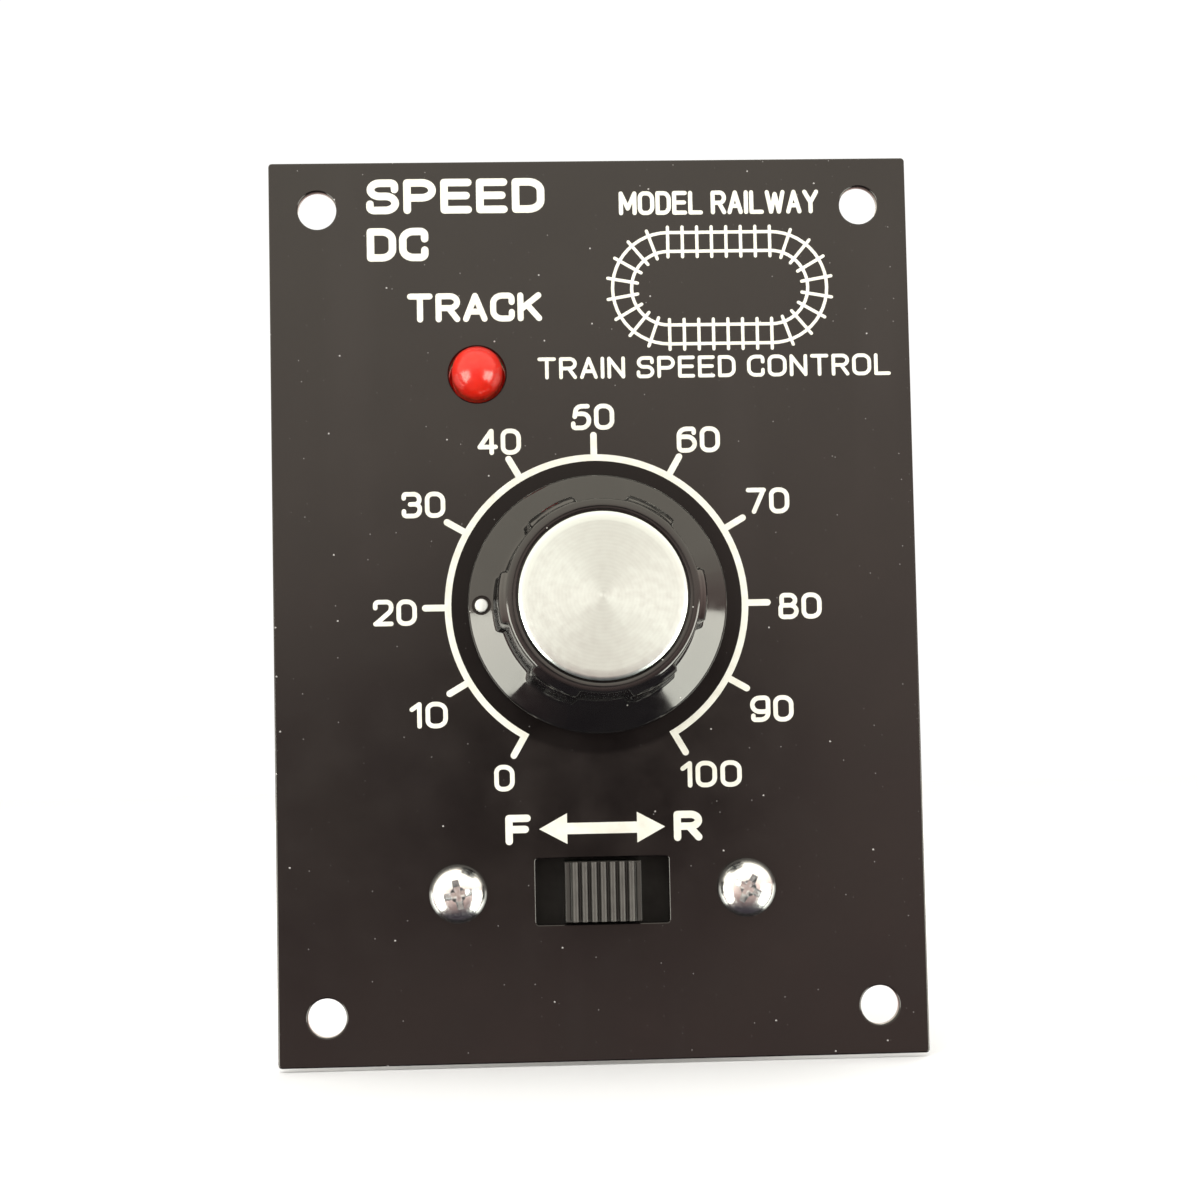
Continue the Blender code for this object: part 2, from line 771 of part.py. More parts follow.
def make_switch_frame():
    """A folded steel channel with an ear at each end and a window for the slider."""
    half_z = 0.5 * SWITCH_FRAME_HEIGHT
    sheet_end = GAP + SWITCH_FRAME_SHEET
    plate = prism(rectangle(0.5 * SWITCH_FRAME_LENGTH, half_z), GAP, sheet_end)
    frame = add_object("switch_frame", plate, tinned_metal(), (0, 0, SWITCH_Z))
    walls = bmesh.new()
    half_x = 0.5 * SWITCH_BODY_LENGTH
    for side in (-1, 1):
        centre = side * (half_z - 0.5 * SWITCH_FRAME_SHEET)
        wall = rectangle(half_x, 0.5 * SWITCH_FRAME_SHEET, 0, centre)
        add_prism(walls, wall, 0.5 * sheet_end, SWITCH_BODY_END_Y)
    join(frame, walls, location=(0, 0, SWITCH_Z))
    openings = bmesh.new()
    window = rectangle(0.5 * SLOT_LENGTH + 0.2 * MM, 0.5 * SLOT_HEIGHT + 0.2 * MM)
    add_prism(openings, window, -MM, sheet_end + 0.2 * MM)
    for side in (-1, 1):
        hole = SCREW_RADIUS + GAP
        add_rod(openings, hole, -MM, sheet_end + MM, side * 0.5 * SCREW_SPACING)
    cut(frame, openings, location=(0, 0, SWITCH_Z))


def make_switch_base():
    end = SWITCH_BASE_Y + SWITCH_BASE_THICKNESS
    outline = rectangle(0.5 * SWITCH_BODY_LENGTH - GAP, 0.5 * CARRIAGE_HEIGHT)
    base = add_object("switch_base", prism(outline, SWITCH_BASE_Y, end), laminate(), (0, 0, SWITCH_Z))
    holes = bmesh.new()
    for x, z in contact_places():
        hole = rectangle(LUG_HALF_WIDTH + GAP, LUG_HALF_SHEET + GAP, x, z)
        add_prism(holes, hole, SWITCH_BASE_Y - MM, end + MM)
    cut(base, holes, location=(0, 0, SWITCH_Z))


def contact_places():
    """The fixed contacts, in two rows of three, relative to the switch's centre."""
    return [
        (column * CONTACT_PITCH, row * CONTACT_ROW_Z)
        for row in (1, -1)
        for column in (-1, 0, 1)
    ]


def make_switch_lugs():
    """Fixed contacts: a flat head inside the switch and a lug through its base."""
    seat = SWITCH_BASE_Y - GAP
    head = seat - LUG_HEAD_THICKNESS
    for number, (x, z) in enumerate(contact_places()):
        outline = [
            (-LUG_HEAD_HALF_WIDTH, head),
            (LUG_HEAD_HALF_WIDTH, head),
            (LUG_HEAD_HALF_WIDTH, seat),
            (LUG_HALF_WIDTH, seat),
            (LUG_HALF_WIDTH, BOARD_Y - GAP),
            (-LUG_HALF_WIDTH, BOARD_Y - GAP),
            (-LUG_HALF_WIDTH, seat),
            (-LUG_HEAD_HALF_WIDTH, seat),
        ]
        bm = along_z(outline, LUG_HALF_SHEET)
        add_object(f"switch_lug_{number + 1}", bm, tinned_metal(), (x, 0, SWITCH_Z + z))


def make_switch_slider(parent):
    """The ribbed thumb piece and the carriage that it is moulded with."""
    half_x = 0.5 * CARRIAGE_LENGTH
    half_z = 0.5 * CARRIAGE_HEIGHT
    carriage = box((-half_x, CARRIAGE_Y, -half_z), (half_x, CARRIAGE_END_Y, half_z))
    slider = add_object("switch_slider", carriage, ribbed_plastic(), parent=parent)

    top = forward(SLIDER_RISE)
    groove = 0.45 * MM
    outline = [(-0.5 * SLIDER_LENGTH, CARRIAGE_Y + MM), (-0.5 * SLIDER_LENGTH, top)]
    first = -0.5 * (SLIDER_RIBS - 1) * SLIDER_RIB_PITCH
    for rib in range(SLIDER_RIBS - 1):
        centre = first + (rib + 0.5) * SLIDER_RIB_PITCH
        outline += [
            (centre - 0.26 * MM, top),
            (centre - 0.12 * MM, top + groove),
            (centre + 0.12 * MM, top + groove),
            (centre + 0.26 * MM, top),
        ]
    outline += [(0.5 * SLIDER_LENGTH, top), (0.5 * SLIDER_LENGTH, CARRIAGE_Y + MM)]
    half_height = 0.5 * SLIDER_HEIGHT
    bm = along_z(outline, half_height)
    join(slider, bm)


def make_switch_clips(parent):
    """Two moving clips under the carriage, each with two sprung legs."""
    near = CARRIAGE_END_Y + GAP
    far = SWITCH_BASE_Y - LUG_HEAD_THICKNESS - 2 * GAP
    sheet = 0.4 * MM
    leg = 0.5 * CONTACT_PITCH
    outline = [
        (-leg - 0.5 * MM, near),
        (leg + 0.5 * MM, near),
        (leg + 0.5 * MM, far),
        (leg - 0.5 * MM, far),
        (leg - 0.5 * MM, near + sheet),
        (-leg + 0.5 * MM, near + sheet),
        (-leg + 0.5 * MM, far),
        (-leg - 0.5 * MM, far),
    ]
    half_width = 0.9 * MM
    for name, side in (("switch_clip_upper", 1), ("switch_clip_lower", -1)):
        bm = along_z(outline, half_width)
        add_object(name, bm, brass(), (0, 0, side * CONTACT_ROW_Z), parent=parent)


# ---------------------------------------------------------------- circuit board

def make_circuit_board():
    low = (-BOARD_HALF_WIDTH, BOARD_Y, BOARD_BOTTOM_Z)
    high = (BOARD_HALF_WIDTH, BOARD_Y + BOARD_THICKNESS, BOARD_TOP_Z)
    add_object("circuit_board", box(low, high), board_laminate())


def way_x(way):
    return (way - 0.5 * (WAY_COUNT - 1)) * WAY_PITCH


def make_terminal_block():
    """A moulded block: for each way a clamp chamber, a wire entry and a screw well."""
    half_x = 0.5 * WAY_COUNT * WAY_PITCH + 0.3 * MM
    top = REAR + BLOCK_HEIGHT
    moulding = box((-half_x, REAR, BLOCK_Z), (half_x, top, BLOCK_END_Z))
    block = add_object("terminal_block", moulding, terminal_green())
    chambers = bmesh.new()
    entries = bmesh.new()
    necks = bmesh.new()
    wells = bmesh.new()
    for way in range(WAY_COUNT):
        x = way_x(way)
        half = 0.5 * CHAMBER_WIDTH
        add_box(
            chambers,
            (x - half, CHAMBER_FLOOR, CHAMBER_Z),
            (x + half, CHAMBER_TOP, CHAMBER_END_Z),
        )
        entry = half - 0.3 * MM
        add_box(
            entries,
            (x - entry, CHAMBER_FLOOR + 0.8 * MM, WAY_Z),
            (x + entry, CHAMBER_FLOOR + 4.4 * MM, BLOCK_END_Z + MM),
        )
        add_rod(necks, TERMINAL_SCREW_RADIUS + GAP, CHAMBER_TOP - MM, top, x, WAY_Z)
        add_rod(wells, TERMINAL_HEAD_RADIUS + GAP, WELL_FLOOR, top + MM, x, WAY_Z)
    for shape in (chambers, entries, necks, wells):
        cut(block, shape)


def make_terminal_screws():
    """Slotted captive screws, each turning in place at the top of its well."""
    under = WELL_FLOOR + GAP
    head_top = under + TERMINAL_HEAD_HEIGHT
    raised_floor = CHAMBER_FLOOR + GAP + CLAMP_WALL + CLAMP_TRAVEL
    tip = raised_floor + GAP
    profile = [
        (0, head_top),
        (TERMINAL_HEAD_RADIUS - 0.2 * MM, head_top),
        (TERMINAL_HEAD_RADIUS, head_top - 0.2 * MM),
        (TERMINAL_HEAD_RADIUS, under),
        (TERMINAL_SCREW_RADIUS, under),
        (TERMINAL_SCREW_RADIUS, tip),
        (0, tip),
    ]
    for way in range(WAY_COUNT):
        axis = add_axis(f"terminal_screw_axis_{way + 1}", (way_x(way), 0, WAY_Z))
        screw = add_object(
            f"terminal_screw_{way + 1}", turned(profile, SMALL_ROUND), bright_zinc(), parent=axis
        )
        slot = box((-2 * MM, head_top - 0.8 * MM, -0.3 * MM), (2 * MM, head_top + MM, 0.3 * MM))
        cut(screw, slot)


def make_terminal_clamps():
    """Rectangular cages that rise on the screws and grip the wire inside them."""
    low = CHAMBER_FLOOR + GAP
    high = low + CLAMP_HEIGHT
    half_x = 0.5 * CHAMBER_WIDTH - GAP
    half_z = 0.5 * (CHAMBER_END_Z - CHAMBER_Z) - GAP
    outline = [(-half_x, low), (half_x, low), (half_x, high), (-half_x, high)]
    for way in range(WAY_COUNT):
        axis = add_axis(f"terminal_clamp_axis_{way + 1}", (way_x(way), 0, WAY_Z))
        bm = along_z(outline, half_z)
        clamp = add_object(f"terminal_clamp_{way + 1}", bm, bright_zinc(), parent=axis)
        passage = box(
            (-half_x + CLAMP_WALL, low + CLAMP_WALL, -half_z - MM),
            (half_x - CLAMP_WALL, high - CLAMP_TOP_PLATE, half_z + MM),
        )
        cut(clamp, passage)
        thread = bmesh.new()
        start = high - CLAMP_TOP_PLATE - MM
        add_rod(thread, TERMINAL_SCREW_RADIUS + GAP, start, high + MM)
        cut(clamp, thread)


# ---------------------------------------------------------------- power stage

def make_heat_sink():
    """A finned strip, tapped for the transistor's screw."""
    end = SINK_X + SINK_BASE
    top = REAR + SINK_HEIGHT
    pitch = (SINK_END_Z - SINK_Z - SINK_FIN_THICKNESS) / (SINK_FIN_COUNT - 1)
    outline = [(SINK_X, SINK_END_Z), (SINK_X, SINK_Z)]
    for fin in range(SINK_FIN_COUNT):
        low = SINK_Z + fin * pitch
        high = low + SINK_FIN_THICKNESS
        tip = end + SINK_FIN_LENGTH
        if fin:
            outline.append((end, low))
        outline += [(tip, low), (tip, high)]
        if fin < SINK_FIN_COUNT - 1:
            outline.append((end, high))
    sink = add_object("heat_sink", prism(outline, REAR, top), finned_aluminium())
    hole = rod(SCREW_RADIUS + GAP, -3 * MM, 3 * MM)
    place = (SINK_X + 0.5 * SINK_BASE, REAR + TAB_HOLE_HEIGHT, TRANSISTOR_Z)
    cut(sink, hole, location=place, rotation=(0, 0, 0.5 * math.pi))


def make_power_transistor():
    """A flat power transistor: moulded body, metal tab and three leads in one solid."""
    back = SINK_X - GAP
    body_low = REAR + 4.0 * MM
    body_high = REAR + 13.0 * MM
    tab_high = REAR + 19.4 * MM
    low = (back - 4.4 * MM, body_low, TRANSISTOR_Z - 5 * MM)
    high = (back, body_high, TRANSISTOR_Z + 5 * MM)
    transistor = add_object("power_transistor", box(low, high), moulded_epoxy())
    extras = bmesh.new()
    add_box(
        extras,
        (back - 1.3 * MM, body_high - MM, TRANSISTOR_Z - 4.8 * MM),
        (back - 0.05 * MM, tab_high, TRANSISTOR_Z + 4.8 * MM),
    )
    for lead in (-1, 0, 1):
        z = TRANSISTOR_Z + lead * LEAD_PITCH
        add_box(
            extras,
            (back - 2.6 * MM, REAR, z - 0.4 * MM),
            (back - 2.1 * MM, body_low + MM, z + 0.4 * MM),
        )
    join(transistor, extras)
    hole = rod(SCREW_RADIUS + GAP, -3 * MM, 3 * MM)
    place = (back - 0.65 * MM, REAR + TAB_HOLE_HEIGHT, TRANSISTOR_Z)
    cut(transistor, hole, location=place, rotation=(0, 0, 0.5 * math.pi))


def make_heat_sink_screw():
    place = (SINK_X - GAP - 1.3 * MM - GAP, REAR + TAB_HOLE_HEIGHT, TRANSISTOR_Z)
    pan_screw("heat_sink_screw", SINK_SCREW_LENGTH, place, rotation=(0, 0, -0.5 * math.pi))


def make_bridge_rectifier():
    """An in-line bridge rectifier with one bevelled corner and four leads."""
    half_x = 7.3 * MM
    low_y = REAR + 2.0 * MM
    high_y = REAR + 12.2 * MM
    outline = [
        (-half_x, low_y),
        (half_x, low_y),
        (half_x, high_y - 2.4 * MM),
        (half_x - 2.4 * MM, high_y),
        (-half_x, high_y),
    ]
    half_depth = 2.0 * MM
    bm = along_z(outline, half_depth)
    place = (11.0 * MM, 0, 19.0 * MM)
    bridge = add_object("bridge_rectifier", bm, moulded_epoxy(), place)
    leads = bmesh.new()
    for lead in range(4):
        x = (lead - 1.5) * 1.5 * LEAD_PITCH
        add_box(
            leads,
            (x - 0.4 * MM, REAR, -0.4 * MM),
            (x + 0.4 * MM, low_y + MM, 0.4 * MM),
        )
    join(bridge, leads, location=place)


def can_capacitor(name, radius, height, place):
    """An electrolytic capacitor standing on the board, with its rolled groove."""
    low = REAR
    top = REAR + height
    profile = [
        (0, low),
        (radius - 0.3 * MM, low),
        (radius, low + 0.3 * MM),
        (radius, low + 0.08 * height),
        (0.93 * radius, low + 0.12 * height),
        (radius, low + 0.16 * height),
        (radius, top - 0.4 * MM),
        (radius - 0.4 * MM, top),
        (0, top),
    ]
    add_object(name, turned(profile, 24), sleeve_blue(), place)


def make_capacitors():
    can_capacitor("smoothing_capacitor", 6.25 * MM, 20.0 * MM, (-14.5 * MM, 0, 13.5 * MM))
    can_capacitor("timing_capacitor", 2.5 * MM, 11.0 * MM, (-18.5 * MM, 0, -12.5 * MM))
    low = (-10.6 * MM, REAR + 1.0 * MM, -13.8 * MM)
    high = (-3.4 * MM, REAR + 7.5 * MM, -11.2 * MM)
    film = add_object("film_capacitor", bevelled_box(low, high, 0.4 * MM), film_red())
    leads = bmesh.new()
    for x in (-9.5 * MM, -4.5 * MM):
        add_box(
            leads,
            (x - 0.3 * MM, REAR, -12.8 * MM),
            (x + 0.3 * MM, REAR + 2.0 * MM, -12.2 * MM),
        )
    join(film, leads)


def make_overload_cutout():
    """A resettable overload cut-out: a lacquered disc on two leads."""
    radius = 5.0 * MM
    half = 1.6 * MM
    profile = [
        (0, -half), (radius - 0.8 * MM, -half), (radius, -half + 0.8 * MM),
        (radius, half - 0.8 * MM), (radius - 0.8 * MM, half), (0, half),
    ]
    centre_y = REAR + 8.0 * MM
    place = (-17.0 * MM, centre_y, -1.5 * MM)
    turn = (0, 0, 0.5 * math.pi)
    cutout = add_object("overload_cutout", turned(profile, 24), cutout_yellow(), place, turn)
    leads = bmesh.new()
    for z in (-2.5 * MM, 2.5 * MM):
        add_box(
            leads,
            (-0.3 * MM, REAR - centre_y, z - 0.3 * MM),
            (0.3 * MM, -2.0 * MM, z + 0.3 * MM),
        )
    join(cutout, leads, location=place)


def make_op_amp():
    """An eight-pin dual in-line amplifier, its long side upright."""
    half_x = 3.2 * MM
    half_z = 4.8 * MM
    low = REAR + 0.8 * MM
    place = (-4.0 * MM, 0, 3.0 * MM)
    body = bevelled_box((-half_x, low, -half_z), (half_x, low + 3.3 * MM, half_z), 0.3 * MM)
    chip = add_object("op_amp", body, moulded_epoxy(), place)
    pins = bmesh.new()
    for side in (-1, 1):
        for pin in range(4):
            z = (pin - 1.5) * LEAD_PITCH
            inner = side * (half_x - 0.5 * MM)
            outer = side * (half_x + 0.6 * MM)
            add_box(
                pins,
                (min(inner, outer), REAR, z - 0.3 * MM),
                (max(inner, outer), REAR + 2.2 * MM, z + 0.3 * MM),
            )
    join(chip, pins, location=place)


def small_transistor(name, place):
    """A small-signal transistor: a D-shaped body on three leads."""
    radius = 2.4 * MM
    flat = math.radians(40)
    outline = arc(radius, -flat, math.pi + flat, 12)
    low = REAR + 3.0 * MM
    body = add_object(name, prism(outline, low, low + 4.8 * MM), moulded_epoxy(), place)
    leads = bmesh.new()
    for lead in (-1, 0, 1):
        x = lead * 0.5 * LEAD_PITCH
        add_box(
            leads,
            (x - 0.22 * MM, REAR, -0.22 * MM),
            (x + 0.22 * MM, low + MM, 0.22 * MM),
        )
    join(body, leads, location=place)


def axial_part(name, profile, span, height, place, finish):
    """A part lying along X on leads bent down to the board."""
    body = add_object(
        name, turned(profile, SMALL_ROUND), finish,
        (place[0], REAR + height, place[2]), (0, 0, 0.5 * math.pi),
    )
    wire = 0.3 * MM
    reach = 0.5 * span
    outline = [
        (-reach - wire, REAR),
        (-reach + wire, REAR),
        (-reach + wire, REAR + height - wire),
        (reach - wire, REAR + height - wire),
        (reach - wire, REAR),
        (reach + wire, REAR),
        (reach + wire, REAR + height + wire),
        (-reach - wire, REAR + height + wire),
    ]
    bm = along_z(outline, wire)
    join(body, bm, location=place)


def make_axial_parts():
    half = 3.2 * MM
    resistor = [
        (0, -half), (0.9 * MM, -half), (1.25 * MM, 0.4 * MM - half), (1.25 * MM, 1.3 * MM - half),
        (1.05 * MM, 1.8 * MM - half), (1.05 * MM, half - 1.8 * MM), (1.25 * MM, half - 1.3 * MM),
        (1.25 * MM, half - 0.4 * MM), (0.9 * MM, half), (0, half),
    ]
    for number, z in enumerate((-20.0 * MM, -25.0 * MM, -30.0 * MM)):
        place = (-14.0 * MM, 0, z)
        name = f"resistor_{number + 1}"
        axial_part(name, resistor, LEAD_SPAN, 1.7 * MM, place, resistor_lacquer())
    half = 2.6 * MM
    diode = [
        (0, -half), (1.15 * MM, -half), (1.35 * MM, -half + 0.2 * MM),
        (1.35 * MM, half - 0.2 * MM), (1.15 * MM, half), (0, half),
    ]
    for number, z in enumerate((-21.0 * MM, -26.0 * MM)):
        place = (14.0 * MM, 0, z)
        name = f"diode_{number + 1}"
        axial_part(name, diode, LEAD_SPAN, 1.8 * MM, place, moulded_epoxy())


# ---------------------------------------------------------------- assembly

def remove_everything():
    for item in list(bpy.data.objects):
        bpy.data.objects.remove(item, do_unlink=True)


def build():
    remove_everything()
    make_front_panel()

    knob_axis = add_axis("knob_axis")
    make_knob_body(knob_axis)
    make_knob_cap(knob_axis)
    make_knob_dot(knob_axis)
    make_knob_insert(knob_axis)
    make_knob_grub_screw(knob_axis)
    make_pot_shaft(knob_axis)
    make_pot_rotor(knob_axis)
    make_pot_wiper(knob_axis)

    make_pot_bush()
    make_pot_washer()
    make_pot_nut()
    make_pot_wafer()
    make_pot_track()
    make_pot_can()
    make_pot_lugs()

    make_lamp()

    make_switch_frame()
    make_switch_base()
    make_switch_lugs()
    slider_axis = add_axis("slider_axis", (0, 0, SWITCH_Z))
    make_switch_slider(slider_axis)
    make_switch_clips(slider_axis)
    for name, side in (("switch_screw_left", -1), ("switch_screw_right", 1)):
        place = (side * 0.5 * SCREW_SPACING, forward(GAP), SWITCH_Z)
        pan_screw(name, PANEL_SCREW_LENGTH, place)

    make_circuit_board()
    make_terminal_block()
    make_terminal_screws()
    make_terminal_clamps()
    make_heat_sink()
    make_power_transistor()
    make_heat_sink_screw()
    make_bridge_rectifier()
    make_capacitors()
    make_overload_cutout()
    make_op_amp()
    small_transistor("driver_transistor", (3.5 * MM, 0, 10.5 * MM))
    small_transistor("sensing_transistor", (2.5 * MM, 0, -9.0 * MM))
    make_axial_parts()


build()
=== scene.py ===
import math

import bmesh
import bpy
from mathutils import Matrix, Vector


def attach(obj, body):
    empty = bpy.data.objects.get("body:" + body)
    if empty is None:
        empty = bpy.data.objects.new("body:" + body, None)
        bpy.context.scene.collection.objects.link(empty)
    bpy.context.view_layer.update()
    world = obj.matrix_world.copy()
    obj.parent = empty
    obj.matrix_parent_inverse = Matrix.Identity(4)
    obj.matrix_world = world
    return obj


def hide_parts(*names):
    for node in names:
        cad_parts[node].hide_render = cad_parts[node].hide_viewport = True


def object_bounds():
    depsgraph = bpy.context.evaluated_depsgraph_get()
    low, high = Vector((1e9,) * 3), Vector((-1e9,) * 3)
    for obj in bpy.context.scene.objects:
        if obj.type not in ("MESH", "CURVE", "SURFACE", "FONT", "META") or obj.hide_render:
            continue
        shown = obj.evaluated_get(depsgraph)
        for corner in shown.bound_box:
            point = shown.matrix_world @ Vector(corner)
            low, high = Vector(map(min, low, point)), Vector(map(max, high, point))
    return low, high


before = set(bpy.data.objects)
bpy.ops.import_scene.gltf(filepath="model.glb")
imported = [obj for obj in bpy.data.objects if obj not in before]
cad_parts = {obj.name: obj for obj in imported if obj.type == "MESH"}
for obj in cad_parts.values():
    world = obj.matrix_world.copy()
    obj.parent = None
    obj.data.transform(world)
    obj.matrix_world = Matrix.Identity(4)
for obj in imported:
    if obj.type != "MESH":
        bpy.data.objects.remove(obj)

CAD_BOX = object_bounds()

MM = 0.001
HOUSING = "housing"
KNOB = "speed_knob"
SLIDER = "direction_slider"

scene = bpy.context.scene


# ---------------------------------------------------------------- nodes

class Graph:
    """A node tree, with short ways to add nodes."""

    def __init__(self, tree):
        self.tree = tree

    def node(self, kind, inputs=(), **settings):
        """Add a node; each of its inputs gets a value or another node's output."""
        made = self.tree.nodes.new(kind)
        for key, value in settings.items():
            setattr(made, key, value)
        for socket, value in dict(inputs).items():
            if isinstance(value, bpy.types.NodeSocket):
                self.tree.links.new(value, made.inputs[socket])
            else:
                made.inputs[socket].default_value = value
        return made

    def vector(self, operation, *inputs):
        made = self.node("ShaderNodeVectorMath", enumerate(inputs), operation=operation)
        scalar = operation in ("DISTANCE", "DOT_PRODUCT", "LENGTH")
        return made.outputs["Value" if scalar else "Vector"]

    def remap(self, source, low, high, start=0.3, end=0.7, **settings):
        made = self.node("ShaderNodeMapRange", {
            "Value": source, "From Min": start, "From Max": end, "To Min": low, "To Max": high,
        }, **settings)
        return made.outputs["Result"]


# ---------------------------------------------------------------- camera, stage and light

def aimed(place, target, roll=0.0):
    """The matrix of something at one point (mm) that looks at another."""
    place, target = Vector(place) * MM, Vector(target) * MM
    turn = (target - place).to_track_quat("-Z", "Y").to_matrix().to_4x4()
    return Matrix.Translation(place) @ turn @ Matrix.Rotation(math.radians(roll), 4, "Z")


def place_camera():
    """A little to the left and below the middle, with a slight roll."""
    data = bpy.data.cameras.new("camera")
    data.lens = 73.5
    data.sensor_width = 36.0
    data.clip_start = 0.01
    data.clip_end = 20.0
    camera = bpy.data.objects.new("camera", data)
    scene.collection.objects.link(camera)
    camera.matrix_world = aimed((-10.617, -241.884, -15.701), (0.22, -1.2, 0.517), -1.169)
    scene.camera = camera


def area_light(name, place, target, width, height, power, colour=(1, 1, 1)):
    data = bpy.data.lights.new(name, "AREA")
    data.shape = "RECTANGLE"
    data.size, data.size_y = width * MM, height * MM
    data.energy, data.color = power, colour
    light = bpy.data.objects.new(name, data)
    scene.collection.objects.link(light)
    light.matrix_world = aimed(place, target)
    return light


def light_object():
    """Two soft boxes, and two low upright windows that only glossy surfaces show."""
    side, depth, length = 620, -527, 806
    for name, x, top, bottom, power in (
        ("window_left", -side, 0, -600, 13.5), ("window_right", side, -5, -740, 17.0),
    ):
        z = 0.5 * (top + bottom)
        window = area_light(
            name, (x, depth, z), (0, depth, z), length, top - bottom, power, (1.0, 1.0, 0.88)
        )
        window.visible_diffuse = False
    key = area_light("softbox", (-350, -900, 900), (0, 0, 0), 900, 700, 8.0)
    key.visible_glossy = False
    area_light("back_softbox", (500, 1100, 700), (0, 0, 0), 900, 700, 6.0, (1.0, 0.98, 0.95))


def light_room():
    """A white backdrop, and in reflections a room: dim below, and dark behind the viewer."""
    world = bpy.data.worlds.new("studio")
    world.use_nodes = True
    world.node_tree.nodes.clear()
    scene.world = world
    graph = Graph(world.node_tree)
    towards = graph.node("ShaderNodeTexCoord").outputs["Generated"]
    slope = graph.vector("DOT_PRODUCT", towards, (-0.15, 0.0, 1.0))
    ramp = graph.node("ShaderNodeValToRGB", {"Fac": graph.remap(slope, 0, 1, -0.8, 0.8)})
    darkest, brightest = (0.04, 0.03, 0.04), (2.0, 1.85, 1.55)
    elements = ramp.color_ramp.elements
    for place, colour in (
        (0.31, (0.42, 0.28, 0.25)), (0.44, (0.98, 0.71, 0.62)), (0.52, (1.32, 1.05, 0.91)),
        (0.61, (1.70, 1.50, 1.27)), (0.69, (1.95, 1.78, 1.50)),
    ):
        elements.new(place).color = (*colour, 1)
    elements[0].color = (*darkest, 1)
    elements[-1].color = (*brightest, 1)
    light = ramp.outputs["Color"]
    for direction, near, far, least in (
        ((0.04, -0.999, 0.005), 0.035, 0.115, 0.0), ((-0.09, -0.995, -0.03), 0.03, 0.12, 0.45),
    ):
        away = graph.vector("DISTANCE", towards, direction)
        share = graph.remap(away, least, 1, near, far, interpolation_type="SMOOTHSTEP")
        inputs = {"Vector": light, "Scale": share}
        light = graph.node("ShaderNodeVectorMath", inputs, operation="SCALE").outputs["Vector"]
    ray = graph.node("ShaderNodeLightPath").outputs
    room, ambient, backdrop = [
        graph.node("ShaderNodeBackground", {"Color": colour, "Strength": strength}).outputs[0]
        for colour, strength in ((light, 1.0), ((1, 0.99, 0.97, 1), 1.0), ((1, 1, 1, 1), 1.05))
    ]
    lit = graph.node("ShaderNodeMixShader", {0: ray["Is Glossy Ray"], 1: ambient, 2: room})
    mix = {0: ray["Is Camera Ray"], 1: lit.outputs[0], 2: backdrop}
    shown = graph.node("ShaderNodeMixShader", mix).outputs[0]
    graph.node("ShaderNodeOutputWorld", {"Surface": shown})


def lay_floor():
    """A plain pale floor just under the object."""
    half = 3.0
    z = CAD_BOX[0].z - 0.4 * MM
    mesh = bpy.data.meshes.new("floor")
    corners = [(-half, -half, z), (half, -half, z), (half, half, z), (-half, half, z)]
    mesh.from_pydata(corners, [], [(0, 1, 2, 3)])
    floor = bpy.data.objects.new("floor", mesh)
    scene.collection.objects.link(floor)
    pale = bpy.data.materials.new("pale_floor")
    pale.use_nodes = True
    shader = pale.node_tree.nodes["Principled BSDF"]
    shader.inputs["Base Color"].default_value = (0.98, 0.98, 0.97, 1)
    shader.inputs["Roughness"].default_value = 0.9
    mesh.materials.append(pale)
    floor.visible_glossy = False
    floor.visible_shadow = False


# ---------------------------------------------------------------- materials

